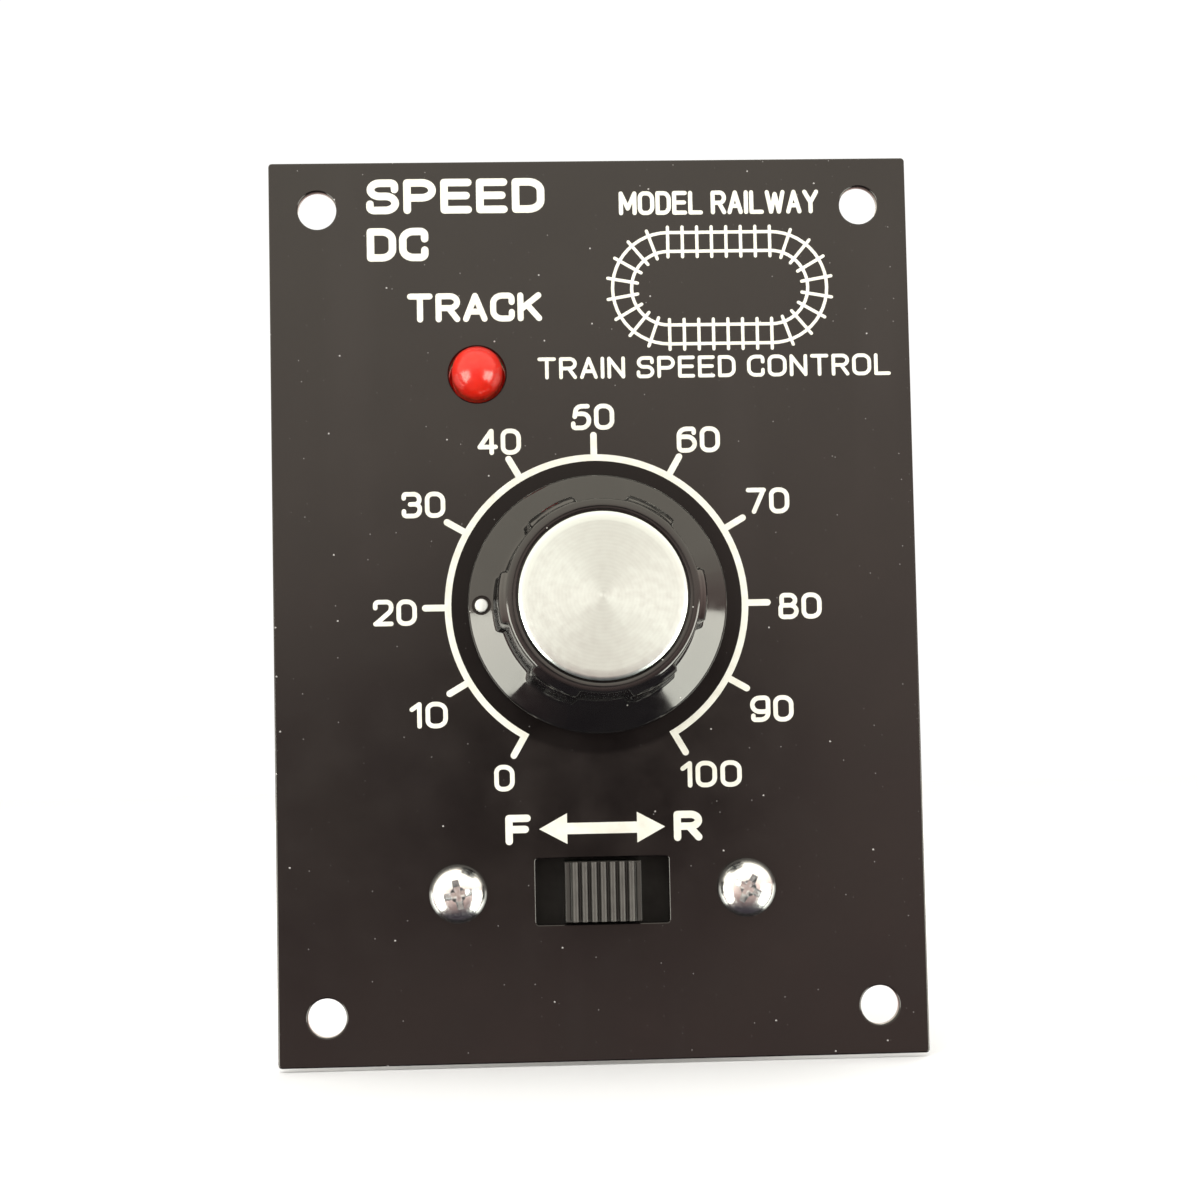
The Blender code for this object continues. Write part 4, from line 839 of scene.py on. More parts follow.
def make_panel():
    outlines = [rounded(31.75, 44.45, 0.35)]
    for x in (-26.9875, 26.9875):
        for z in (-39.6875, 39.6875):
            outlines.append(disc(1.9, x, z))
    outlines += [disc(1.75, x, SWITCH_Z) for x in (-SCREW_X, SCREW_X)]
    outlines += [disc(5.0), disc(2.8, *LAMP), rounded(6.5, 3.2, 0.25, 0, SWITCH_Z)]
    add_piece("panel", plate(outlines, FRONT, 0, 0.14), "enamel", ["front_panel"])


def ink(outline):
    return prism(outline, FRONT - 0.9 * INK, FRONT + 0.1 * INK)


def polar(radius, clock):
    """A point at a clock angle, in degrees clockwise from the top."""
    turn = math.radians(clock)
    return (radius * math.sin(turn), radius * math.cos(turn))


def make_dial():
    """An arc of 300 degrees with a tick and a number every 30."""
    radius, width, tick = 14.65, 0.65, 17.2
    outer, inner = radius + 0.5 * width, radius - 0.5 * width
    half_outer = math.degrees(math.asin(0.5 * width / outer))
    half_inner = math.degrees(math.asin(0.5 * width / inner))
    outline = []
    for clock in range(-150, 151, 30):
        outline.append(polar(outer, clock - half_outer))
        tip = polar(tick - 0.5 * width, clock)
        outline += arc(0.5 * width, 180 - clock, -clock, 8, *tip)
        outline.append(polar(outer, clock + half_outer))
        if clock < 150:
            outline += [polar(outer, clock + 2.5 * i) for i in range(1, 12)]
    start = 150 + half_inner
    outline += [polar(inner, start - 2 * start * i / 120) for i in range(121)]
    add_piece("dial_scale", ink(outline), "ink")
    places = [
        (-9.4, -16.8), (-16.7, -10.5), (-19.85, -0.4), (-16.9, 10.2), (-9.33, 16.35),
        (-0.05, 18.7), (10.4, 16.3), (17.15, 10.1), (20.1, -0.4), (17.05, -10.5), (10.9, -16.8),
    ]
    height, digit, gap, weight = 2.6, 2.0, 0.3, 0.45
    lines = []
    for step, (x, z) in enumerate(places):
        words = str(10 * step)
        half_x = 0.5 * (len(words) * digit + (len(words) - 1) * gap)
        if words.startswith("1"):
            half_x -= 0.28
        low, high = (x - half_x, z - 0.5 * height), (x + half_x, z + 0.5 * height)
        lines.append((words, low, high, weight))
    add_piece("dial_numbers", lettering(lines), "ink")


def make_lettering():
    for name, lines in {
        "title_line": [("SPEED", (-22.1, 39.25), (-4.4, 42.75), 0.76),
                       ("DC", (-22.1, 34.5), (-16.0, 37.85), 0.74)],
        "heading_line": [("MODEL RAILWAY", (3.0, 38.9), (23.0, 41.3), 0.42)],
        "tagline": [("TRAIN SPEED CONTROL", (-5.4, 22.5), (29.8, 24.7), 0.36)],
        "lamp_label": [("TRACK", (-18.2, 28.35), (-4.85, 31.25), 0.60)],
        "direction_labels": [("F", (-9.4, -23.35), (-6.9, -20.4), 0.72),
                             ("R", (7.1, -23.3), (9.9, -20.35), 0.72)],
    }.items():
        add_piece(name, lettering(lines), "ink")
    left, right, z, head, half, shaft = -6.1, 6.25, -21.85, 2.75, 1.5, 0.55
    add_piece("direction_arrow", ink([
        (left, z), (left + head, z - half), (left + head, z - shaft), (right - head, z - shaft),
        (right - head, z - half), (right, z), (right - head, z + half), (right - head, z + shaft),
        (left + head, z + shaft), (left + head, z + half),
    ]), "ink")


def make_track_loop():
    """A small plan of an oval of track: two rails and the sleepers under them."""
    x, z, half_x, half_z = 12.9, 31.5, 11.25, 6.15
    gauge, rail, sleeper = 1.9, 0.32, 0.55
    straight, outer_rail = half_x - half_z, half_z - sleeper
    middle, reach = outer_rail - 0.5 * gauge, 0.5 * gauge + sleeper

    def oval(radius):
        right = arc(radius, -90, 90, 24, x + straight, z)
        return right + arc(radius, 90, 270, 24, x - straight, z)

    rails = []
    for radius in (outer_rail, outer_rail - gauge):
        edges = [oval(radius + 0.5 * rail), oval(radius - 0.5 * rail)]
        rails.append(plate(edges, FRONT - 0.9 * INK, FRONT + 0.1 * INK, 0.002))
    sleepers = []
    pairs, turns = 8, 9
    for i in range(pairs):
        along = x - straight + 2 * straight * i / (pairs - 1)
        for side in (-1, 1):
            ends = [z + side * (middle - reach), z + side * (middle + reach)]
            sleepers.append([(along, end) for end in ends])
    for i in range(1, turns):
        angle = math.pi * i / turns - 0.5 * math.pi
        for side in (-1, 1):
            sleepers.append([
                (x + side * (straight + r * math.cos(angle)), z + r * math.sin(angle))
                for r in (middle - reach, middle + reach)
            ])
    marks = [stroke(ends, rail, FRONT - 0.75 * INK, FRONT + 0.05 * INK) for ends in sleepers]
    add_piece("track_plan", join(*rails, gathered(*marks)), "ink")


# ---------------------------------------------------------------- speed knob

def smooth(x):
    x = min(1.0, max(0.0, x))
    return x * x * (3 - 2 * x)


def fluted(profile, rise, half_angle, flank, count):
    """A turned solid whose wall is raised in wide finger ribs; (radius, height, share)."""
    pitch = 360.0 / count
    stations = []
    for rib in range(count):
        centre = rib * pitch
        for i in range(9):
            stations.append((centre - half_angle + 2 * half_angle * i / 8, 1.0))
        for i in range(1, 6):
            stations.append((centre + half_angle + flank * i / 6, 1 - smooth(i / 6)))
        hollow = pitch - 2 * (half_angle + flank)
        for i in range(9):
            stations.append((centre + half_angle + flank + hollow * i / 8, 0.0))
        for i in range(1, 6):
            stations.append((centre + pitch - half_angle - flank * (1 - i / 6), smooth(i / 6)))
    bm = bmesh.new()
    rings = []
    for radius, height, share in profile:
        y = forward(height)
        if radius == 0:
            rings.append([bm.verts.new((0, y, 0))])
            continue
        ring = []
        for degrees, rib in stations:
            reach, angle = radius + share * rib * rise, math.radians(degrees)
            ring.append(bm.verts.new((reach * math.cos(angle), y, reach * math.sin(angle))))
        rings.append(ring)
    for upper, lower in zip(rings, rings[1:]):
        for i in range(len(stations)):
            j = (i + 1) % len(stations)
            corners = [upper[i % len(upper)], upper[j % len(upper)]]
            corners += [lower[j % len(lower)], lower[i % len(lower)]]
            bm.faces.new(list(dict.fromkeys(corners)))
    return bm


def make_knob():
    profile = [
        (0, 13.1, 0), (8.1, 13.1, 0), (8.1, 13.88, 0), (8.15, 13.95, 0), (8.25, 13.98, 0),
        (8.85, 13.95, 0), (8.98, 13.9, 0), (9.07, 13.8, 0.03), (9.11, 13.65, 0.1),
        (9.13, 13.4, 0.4), (9.16, 13.1, 0.75), (9.18, 12.8, 0.95), (9.2, 12.5, 1),
        (9.3, 4.9, 1), (9.32, 4.6, 0.98),
        (9.4, 4.3, 0.92), (9.58, 4.02, 0.75), (9.85, 3.8, 0.45), (10.2, 3.6, 0.15),
        (10.55, 3.42, 0), (12.4, 2.44, 0), (12.56, 2.33, 0), (12.65, 2.18, 0), (12.69, 2.0, 0),
        (12.68, 1.75, 0), (12.66, 0.95, 0), (12.55, 0.82, 0), (11.5, 0.8, 0), (11.2, 1.7, 0),
        (7.8, 2.3, 0), (7.8, 4.8, 0), (5.3, 4.8, 0), (5.3, 11.5, 0), (0, 11.5, 0),
    ]
    body = fluted(profile, 0.65, 13.6, 3.4, 6)
    access = moved(rod(1.8, 3, 12), (0, forward(8.4), 0), about("Y", -30) @ about("Z", -90))
    dimple = prism(disc(0.95, -11.35, 0, 32), forward(4), forward(2.1))
    add_piece("knob", cut(body, access, dimple), "phenolic", ["knob_body"], KNOB)
    top = forward(14.2)
    cap = turned([
        (0, top), (7.0, top), (7.55, top + 0.015), (7.76, top + 0.06), (7.87, top + 0.16),
        (7.9, top + 0.3), (7.9, top + 0.8), (0, top + 0.8),
    ], 128)
    add_piece("knob_disc", cap, "spun", ["knob_cap"], KNOB)
    dot = turned([
        (0, forward(3.1)), (0.35, forward(3.07)), (0.58, forward(2.97)), (0.65, forward(2.8)),
        (0.65, forward(2.4)), (0, forward(2.4)),
    ], 32)
    add_piece("pointer_dot", moved(dot, (-11.35, 0, 0)), "dot_paint", ["knob_pointer_dot"], KNOB)
    keep_cad("brass", "knob_insert")
    keep_cad("zinc", "knob_grub_screw")


# ---------------------------------------------------------------- screws

def threaded(radius, start, end, pitch=0.5, depth=0.12):
    """Profile points of a threaded shank, as fine ridges."""
    points = []
    count = int((end - start) / pitch)
    for i in range(count):
        y = start + i * pitch
        points += [(radius - depth, y + 0.1 * pitch), (radius, y + 0.5 * pitch)]
    return points + [(radius - depth, end - 0.4), (radius - 0.45, end), (0, end)]


def pan_screw(length):
    head = [
        (0, -1.9), (0.8, -1.88), (1.4, -1.79), (1.95, -1.6), (2.35, -1.33), (2.62, -1.0),
        (2.78, -0.65), (2.85, -0.32), (2.83, -0.1), (2.74, 0), (1.45, 0),
    ]
    body = turned(head + threaded(1.45, 0.2, length), 48)
    arm, half = 1.7, 0.44
    outline = []
    for quarter in range(4):
        turn = Matrix.Rotation(math.radians(90 * quarter), 2)
        for corner in ((arm, -0.8 * half), (arm, 0.8 * half), (half, half)):
            outline.append(tuple(turn @ Vector(corner)))
    recess = prism(outline, -2.3, -0.35)
    deep = [v for v in recess.verts if v.co.y > -1]
    bmesh.ops.scale(recess, verts=deep, vec=(0.42, 1, 0.42))
    cone = turned([(0, -2.3), (0.95, -2.3), (0.2, -0.5), (0, -0.5)], 24)
    return cut(body, join(recess, cone))


# ---------------------------------------------------------------- lamp

def make_lamp():
    tip = forward(4.0)
    centre, radius = tip + 2.5, 2.5
    profile = [
        (radius * math.sin(math.radians(a)), centre - radius * math.cos(math.radians(a)))
        for a in range(0, 91, 6)
    ]
    profile += [
        (radius, 2.25), (2.55, 2.38), (2.82, 2.42), (2.9, 2.52), (2.9, 3.28), (2.8, 3.4), (0, 3.4),
    ]
    place = (LAMP[0], 0, LAMP[1])
    add_piece("lamp", moved(turned(profile, 64), place), "lens", ["lamp_lens"])
    for name, side in (("anode", -1), ("cathode", 1)):
        x = LAMP[0] + side * 0.5 * PIN_PITCH
        lead = strip([(x, 3.5, LAMP[1]), (x, LEAD_END, LAMP[1])], 0.5, 0.5, (0, 0, 1))
        add_piece(f"lamp_{name}", lead, "steel", [f"lamp_lead_{name}"])


# ---------------------------------------------------------------- direction switch

def make_slider():
    """The thumb piece: a block with rounded ends and seven crowned ribs."""
    pitch, ribs, top, groove = 0.91, 7, -3.7, 0.5
    shoulder = top + 0.42
    end = [(3.7, 3.0), (3.7, shoulder + 0.12), (3.6, shoulder), (3.24, shoulder),
           (3.21, top + groove), (3.12, top + groove)]
    outline = list(end)
    for rib in range(ribs - 1, -1, -1):
        centre = (rib - 0.5 * (ribs - 1)) * pitch
        outline += [
            (centre + 0.30, top + 0.16), (centre + 0.22, top + 0.03), (centre + 0.1, top),
            (centre - 0.1, top), (centre - 0.22, top + 0.03), (centre - 0.30, top + 0.16),
        ]
        if rib:
            low = centre - 0.5 * pitch
            outline += [(low + 0.09, top + groove), (low - 0.09, top + groove)]
    outline += [(-x, y) for x, y in reversed(end)]
    handle = along_z(outline, 2.9)
    carriage = block((-8.25, 1.4, -5.2), (8.25, 4.6, 5.2), 0.25)
    slider = moved(join(carriage, eased(handle, 0.12, 1, 60)), (0, 0, SWITCH_Z))
    add_piece("slider", slider, "ribbed", ["switch_slider"], SLIDER)
    keep_cad("brass", "switch_clip_upper", "switch_clip_lower")


def make_switch():
    """A folded steel frame, the laminate base that closes it, and six tags."""
    outer = rounded(17.5, 6.3, 0.8)
    holes = [rounded(6.7, 3.4, 0.3)] + [disc(1.75, x, 0) for x in (-SCREW_X, SCREW_X)]
    face = plate([outer, *holes], 0.3, 1.1, 0.08)
    walls = []
    for side in (-1, 1):
        low, high = sorted((side * 5.5, side * 6.3))
        walls.append(block((-11.5, 0.6, low), (11.5, 10.0, high), 0.15))
    slots = [block((x - 0.9, 9.2, -7), (x + 0.9, 11, 7)) for x in (-8.0, 8.0)]
    frame_shape = cut(join(face, *walls), *slots)
    add_piece("switch_case", moved(frame_shape, (0, 0, SWITCH_Z)), "steel", ["switch_frame"])
    tags = [(x, z) for x in SWITCH_TAGS for z in (2.9, -2.9)]
    openings = [block((x - 1.0, 7, z - 0.5), (x + 1.0, 11, z + 0.5)) for x, z in tags]
    base = cut(block((-11.2, 7.9, -5.2), (11.2, 9.5, 5.2), 0.12), *openings)
    add_piece("switch_back", moved(base, (0, 0, SWITCH_Z)), "paxolin", ["switch_base"])
    for order, (x, z) in enumerate(tags):
        number = 1 + order // 2 + 3 * (order % 2)
        head = block((-1.2, 7.1, -0.3), (1.2, 7.6, 0.3), 0.08)
        tail = along_z([
            (-0.8, 7.3), (0.8, 7.3), (0.8, 12.2), (0.45, 12.7), (0.45, 14.0), (-0.45, 14.0),
            (-0.45, 12.7), (-0.8, 12.2),
        ], 0.3)
        eye = extruded([(px, 11.2 + pz, -1) for px, pz in disc(0.35, sides=20)], (0, 0, 2))
        tag = moved(cut(join(head, tail), eye), (x, 0, SWITCH_Z + z))
        add_piece(f"switch_tag_{number}", tag, "steel", [f"switch_lug_{number}"])
    for name, side in (("left", -1), ("right", 1)):
        screw = moved(pan_screw(5.5), (side * SCREW_X, -1.5, SWITCH_Z), about("Y", 20 * side + 9))
        add_piece(f"panel_screw_{name}", screw, "zinc", [f"switch_screw_{name}"])


# ---------------------------------------------------------------- potentiometer

def make_potentiometer():
    tip = forward(4.2)
    bush = [(3.475, tip), (4.2, tip), (4.45, tip + 0.2)]
    for i in range(9):
        y = tip + 0.35 + 0.6 * i
        bush += [(4.6, y), (4.42, y + 0.3)]
    bush += [(4.42, 0.3), (11.5, 0.3), (11.75, 0.5), (11.75, 1.65), (11.6, 1.8), (3.475, 1.8)]
    add_piece("pot_thread", turned(bush, 64, True), "die_cast", ["pot_bush"])
    washer = [(4.9, -1.55), (4.95, -1.5), (6.8, -1.5), (6.9, -1.6), (6.9, -2.0), (6.8, -2.1),
              (4.95, -2.1), (4.9, -2.05)]
    add_piece("pot_flat_washer", turned(washer, 64, True), "zinc", ["pot_washer"])
    hexagon = arc(12 / math.sqrt(3), 0, 360, 6)[:-1]
    cone = turned([(0, -4.6), (6.0, -4.6), (7.2, -4.0), (7.2, -2.4), (0, -2.4)], 64)
    nut = combined(prism(hexagon, -4.7, -2.3), "INTERSECT", [cone])
    nut = cut(nut, rod(4.9, -6, 0, 48))
    add_piece("pot_fixing_nut", nut, "zinc", ["pot_nut"])
    ring = join(prism(disc(11.75), 2.1, 3.4), block((-7.2, 2.1, -16.6), (7.2, 3.4, -8.6)))
    holes = [prism(disc(5.6), 1, 5)] + [prism(disc(0.7, x, -14.6, 20), 1, 5) for x in (-5, 0, 5)]
    add_piece("pot_laminate", cut(ring, *holes), "paxolin", ["pot_wafer"])
    can = [
        (0, 10.35), (3.2, 10.35), (3.4, 10.5), (11.1, 10.5), (11.45, 10.4), (11.68, 10.15),
        (11.75, 9.8), (11.75, 3.7), (11.15, 3.7), (11.15, 9.9), (0, 9.9),
    ]
    peg = prism(arc(9.4, -104, -76, 6) + arc(6.2, -76, -104, 6), 5.7, 10.1)
    add_piece("pot_cover", join(turned(can, 72), peg), "steel", ["pot_can"])
    for number, x in enumerate((-5.0, 0.0, 5.0), 1):
        path = [(x, 3.95, -13.2), (x, 3.95, -17.15), (x, 14.15, -17.15)]
        rivet = turned([(0, 3.5), (0.95, 3.5), (1.05, 3.7), (0.8, 4.5), (0, 4.6)], 24)
        lug = join(strip(path, 1.8, 0.5, (1, 0, 0)), moved(rivet, (x, 0, -14.6)))
        add_piece(f"pot_tag_{number}", lug, "steel", [f"pot_lug_{number}"])
    keep_cad("steel", "pot_shaft")
    keep_cad("carbon", "pot_track")
    keep_cad("epoxy", "pot_rotor")
    keep_cad("brass", "pot_wiper")


# ---------------------------------------------------------------- circuit board

FRONT_SIDE_LEADS = (
    [(LAMP[0] + side * 0.5 * PIN_PITCH, LAMP[1]) for side in (-1, 1)]
    + [(x, -17.15) for x in (-5.0, 0.0, 5.0)]
    + [(x, SWITCH_Z + z) for x in SWITCH_TAGS for z in (-2.9, 2.9)]
)
WAYS = (-7.5, -2.5, 2.5, 7.5)
WAY_Z = 30.5
BRIDGE_STEPS = (-1.5 * 3.81, -0.5 * 3.81, 0.5 * 3.81, 1.5 * 3.81)
RESISTOR_X, RESISTOR_ROWS = -14.0, (-20.0, -25.0, -30.0)
DIODE_X, DIODE_ROWS = 14.0, (-21.0, -26.0)
STEPS = (-PIN_PITCH, 0, PIN_PITCH)
HALF_STEPS = (-0.5 * PIN_PITCH, 0, 0.5 * PIN_PITCH)
AMPLIFIER_ROWS = tuple(3.0 + (pin - 1.5) * PIN_PITCH for pin in range(4))
AXIAL_REACH = 2 * PIN_PITCH
REAR_SIDE_LEADS = (
    [(way, 28.0) for way in WAYS]
    + [(9.65, -1.0 + step) for step in STEPS]
    + [(11.0 + step, 19.0) for step in BRIDGE_STEPS]
    + [(-17.0, 13.5), (-12.0, 13.5), (-19.5, -12.5), (-17.5, -12.5), (-9.5, -12.5), (-4.5, -12.5)]
    + [(-17.0, -4.0), (-17.0, 1.0)]
    + [(-4.0 + side * 3.5, z) for side in (-1, 1) for z in AMPLIFIER_ROWS]
    + [(3.5 + step, 10.5) for step in HALF_STEPS]
    + [(2.5 + step, -9.0) for step in HALF_STEPS]
    + [(RESISTOR_X + side * AXIAL_REACH, z) for z in RESISTOR_ROWS for side in (-1, 1)]
    + [(DIODE_X + side * AXIAL_REACH, z) for z in DIODE_ROWS for side in (-1, 1)]
)
BOARD_TRACKS = (
    ((-7.5, 28.0), (-7.5, 23.0), (-12.67, 23.1)),
    ((-2.5, 28.0), (-2.5, 19.0), (5.285, 19.0)),
    ((2.5, 28.0), (2.5, 22.5), (9.095, 22.5), (9.095, 19.0)),
    ((7.5, 28.0), (12.905, 24.0), (12.905, 19.0)),
    ((16.715, 19.0), (20.8, 19.0), (20.8, -1.0), (17.0, -17.5), (19.08, -21.0)),
    ((-12.0, 13.5), (-7.5, 9.0), (-7.5, 6.81)),
    ((-17.0, 13.5), (-21.2, 8.0), (-21.2, -8.0), (-19.5, -12.5)),
    ((-0.5, 6.81), (2.23, 10.5)),
    ((4.77, 10.5), (7.0, 6.0), (7.0, 1.54), (9.65, 1.54)),
    ((-0.5, -0.81), (1.23, -5.0), (1.23, -9.0)),
    ((-7.5, -0.81), (-9.5, -4.0), (-9.5, -12.5)),
    ((-7.5, 1.73), (-11.5, 1.73), (-17.0, 1.0)),
    ((-17.0, -4.0), (-13.5, -8.0), (-13.5, -16.5), (-8.92, -20.0)),
    ((-17.5, -12.5), (-15.5, -16.0), (-19.08, -20.0)),
    ((-4.5, -12.5), (-5.0, -17.15)),
    ((3.77, -9.0), (5.0, -12.0), (5.0, -17.15)),
    ((2.5, -9.0), (0.0, -13.0), (0.0, -17.15)),
    ((-8.92, -25.0), (-4.7, -25.05)),
    ((-19.08, -25.0), (-21.0, -27.5), (-19.08, -30.0)),
    ((-8.92, -30.0), (-4.7, -30.85)),
    ((8.92, -21.0), (6.5, -22.5), (4.7, -25.05)),
    ((8.92, -26.0), (6.5, -28.5), (4.7, -30.85)),
)
BOARD_HOLES = ((-20.0, 32.5), (20.0, 32.5), (-20.0, -33.2), (20.0, -33.2))


def make_board():
    holes = [disc(0.5, x, z, 16) for x, z in FRONT_SIDE_LEADS + REAR_SIDE_LEADS]
    holes += [disc(1.6, x, z) for x, z in BOARD_HOLES]
    outlines = [rounded(23.0, 36.0, 1.2), *holes]
    add_piece("board", plate(outlines, BOARD_FRONT, BOARD_REAR, 0.04), "board", ["circuit_board"])
    section = rounded(0.55, 0.03, 0.02, steps=1)
    for side, y in (("rear", BOARD_REAR + 0.02), ("front", BOARD_FRONT - 0.02)):
        paths = []
        for points in BOARD_TRACKS:
            path = [(x, y, z) for x, z in points]
            paths.append(swept(bent(path, 0.8) if len(path) > 2 else path, section, (0, 1, 0)))
        add_piece(f"tracks_{side}", gathered(*paths), "track")
    rings = [(x, z, 1.0) for x, z in FRONT_SIDE_LEADS + REAR_SIDE_LEADS]
    rings += [(x, z, 2.7) for x, z in BOARD_HOLES]
    for side, face, sign in (("rear", BOARD_REAR, 1), ("front", BOARD_FRONT, -1)):
        pads = []
        for x, z, reach in rings:
            inner, rise = 0.5 if reach < 2 else 1.65, face + sign * 0.07
            profile = [(inner, face), (reach, face), (reach, rise), (inner, rise)]
            pads.append(moved(turned(profile, 24, True), (x, 0, z)))
        add_piece(f"pads_{side}", gathered(*pads), "solder")
    for side, leads, face, sign in (
        ("rear", FRONT_SIDE_LEADS, BOARD_REAR, 1), ("front", REAR_SIDE_LEADS, BOARD_FRONT, -1),
    ):
        profile = [(0, 1.25), (0.22, 1.2), (0.3, 0.95), (0.4, 0.6), (0.6, 0.28), (0.9, 0.08),
                   (0.9, 0.0), (0.42, 0.0), (0.42, -1.0), (0, -1.0)]
        joints = [
            moved(turned([(r, face + sign * h) for r, h in profile], 20), (x, 0, z))
            for x, z in leads
        ]
        add_piece(f"joints_{side}", gathered(*joints), "solder")
    make_legend()


def outline_ring(outer, inner):
    return plate([outer, inner], BOARD_REAR - 0.005, BOARD_REAR + 0.03, 0.001)


def make_legend():
    """White outlines on the board round the parts, and the numbers of the ways."""
    marks = []
    width = 0.16
    for x, z, half_x, half_z in (
        (0, 30.5, 10.9, 5.1), (11.0, 19.0, 8.0, 2.7), (-7.0, -12.5, 4.2, 1.9),
        (-17.0, -1.5, 2.3, 5.7), (-14.0, -20.0, 3.9, 1.7), (-14.0, -25.0, 3.9, 1.7),
        (-14.0, -30.0, 3.9, 1.7), (14.0, -21.0, 3.3, 1.8), (14.0, -26.0, 3.3, 1.8),
        (0, SWITCH_Z, 8.2, 5.2),
    ):
        outer = rounded(half_x, half_z, 0.3, x, z)
        marks.append(outline_ring(outer, rounded(half_x - width, half_z - width, 0.2, x, z)))
    for x, z, radius in ((-14.5, 13.5, 6.9), (-18.5, -12.5, 3.1), (3.5, 10.5, 3.1),
                         (2.5, -9.0, 3.1), (LAMP[0], LAMP[1], 3.3)):
        marks.append(outline_ring(disc(radius, x, z), disc(radius - width, x, z)))
    numbers = [
        (str(way + 1), (x - 0.5, 23.5), (x + (0.5 if way else 0.0), 25.0), 0.2)
        for way, x in enumerate(WAYS)
    ]
    marks.append(lettering(numbers, BOARD_REAR, 0.03, -1))
    add_piece("board_legend", gathered(*marks), "legend")


# ---------------------------------------------------------------- terminal block

def make_terminals():
    """A moulded block with a stepped face, a clamp chamber and a screw well for each way."""
    side = [(16.2, 26.0), (27.2, 26.0), (27.2, 33.4), (25.4, 34.4), (25.4, 35.0), (16.2, 35.0)]
    moulding = eased(along_x(side, 10.3), 0.25)
    chambers = [block((x - 2, 17.4, 28), (x + 2, 23.6, 33)) for x in WAYS]
    entries = [block((x - 1.7, 18.2, WAY_Z), (x + 1.7, 21.8, 36)) for x in WAYS]
    mouths = []
    for x in WAYS:
        mouth = block((x - 2.0, 17.9, 34.5), (x + 2.0, 22.1, 35.5))
        far = [v for v in mouth.verts if v.co.z < 35]
        centre = Matrix.Translation((-x, -20.0, 0))
        bmesh.ops.scale(mouth, verts=far, vec=(0.85, 0.86, 1), space=centre)
        mouths.append(mouth)
    necks = [moved(rod(1.55, 23, 25), (x, 0, WAY_Z)) for x in WAYS]
    well = [(0, 24.4), (2.05, 24.4), (2.05, 26.9), (2.3, 27.3), (0, 27.3)]
    wells = [moved(turned(well, 40), (x, 0, WAY_Z)) for x in WAYS]
    grooves = [
        block((x - half, low_y, low_z), (x + half, high_y, high_z))
        for half, low_y, high_y, low_z, high_z in (
            (0.15, 22.4, 28, 34.7, 36), (0.15, 26.9, 28, 25, 36), (0.12, 16, 25.5, 25.5, 26.15),
        )
        for x in (-5, 0, 5)
    ]
    cuts = [gathered(*shapes) for shapes in (chambers, entries, mouths, necks, wells, grooves)]
    add_piece("terminal_moulding", cut(moulding, *cuts), "polyamide", ["terminal_block"])
    profile = [(0, 26.14), (1.3, 26.2), (1.6, 26.14), (1.75, 25.95), (1.75, 24.8), (1.68, 24.7),
               (1.25, 24.7)]
    for i in range(9):
        y = 24.3 - 0.46 * i
        profile += [(1.08, y), (1.2, y - 0.23)]
    profile += [(1.1, 20.25), (0, 20.2)]
    for number, x in enumerate(WAYS, 1):
        screw = cut(turned(profile, 40), block((-2, 25.4, -0.3), (2, 27, 0.3)))
        screw = moved(moved(screw, turn=about("Y", 37 * number - 12)), (x, 0, WAY_Z))
        node = f"terminal_screw_{number}"
        add_piece(f"clamp_screw_{number}", screw, "zinc", [node], node)
        cage = block((-1.7, 17.7, -2.2), (1.7, 21.5, 2.2), 0.18)
        window = block((-1.25, 18.15, -3), (1.25, 20.6, 3), 0.15)
        cage = moved(cut(cage, window, rod(1.55, 20, 22)), (x, 0, WAY_Z))
        node = f"terminal_clamp_{number}"
        add_piece(f"clamp_cage_{number}", cage, "zinc", [node], node)
    pins = [block((x - 0.4, LEAD_END, 27.6), (x + 0.4, 16.3, 28.4), 0.1) for x in WAYS]
    add_piece("terminal_pins", gathered(*pins), "steel")


# ---------------------------------------------------------------- power stage

def make_heat_sink():
    """An extruded strip with six fins whose tips are rounded and whose faces are ribbed."""
    fins, thick, pitch, tip, root = 6, 1.2, 5.36, 22.3, 14.3
    outline = [(12.3, 13.0), (12.3, -15.0)]
    for fin in range(fins):
        low = -15.0 + fin * pitch
        high = low + thick
        if fin:
            outline += [(root, low - 0.5), (root + 0.15, low - 0.15), (root + 0.5, low)]
        for i in range(4):
            x = root + 1.4 + 1.6 * i
            outline += [(x, low), (x + 0.4, low + 0.12), (x + 0.8, low)]
        outline += [(tip - 0.35, low + 0.08), (tip, low + 0.4), (tip, high - 0.4)]
        outline += [(tip - 0.35, high - 0.08)]
        for i in range(4):
            x = root + 1.4 + 1.6 * (3 - i) + 0.8
            outline += [(x, high), (x - 0.4, high - 0.12), (x - 0.8, high)]
        if fin < fins - 1:
            outline += [(root + 0.5, high), (root + 0.15, high + 0.15), (root, high + 0.5)]
    sink = cut(prism(outline, REAR, 35.2), bore(13.3, 32.6, -1))
    add_piece("finned_sink", sink, "anodised", ["heat_sink"])
    screw = moved(pan_screw(6.0), (10.4, 32.6, -1.0), about("Z", -90) @ about("Y", 15))
    add_piece("sink_screw", screw, "zinc", ["heat_sink_screw"])


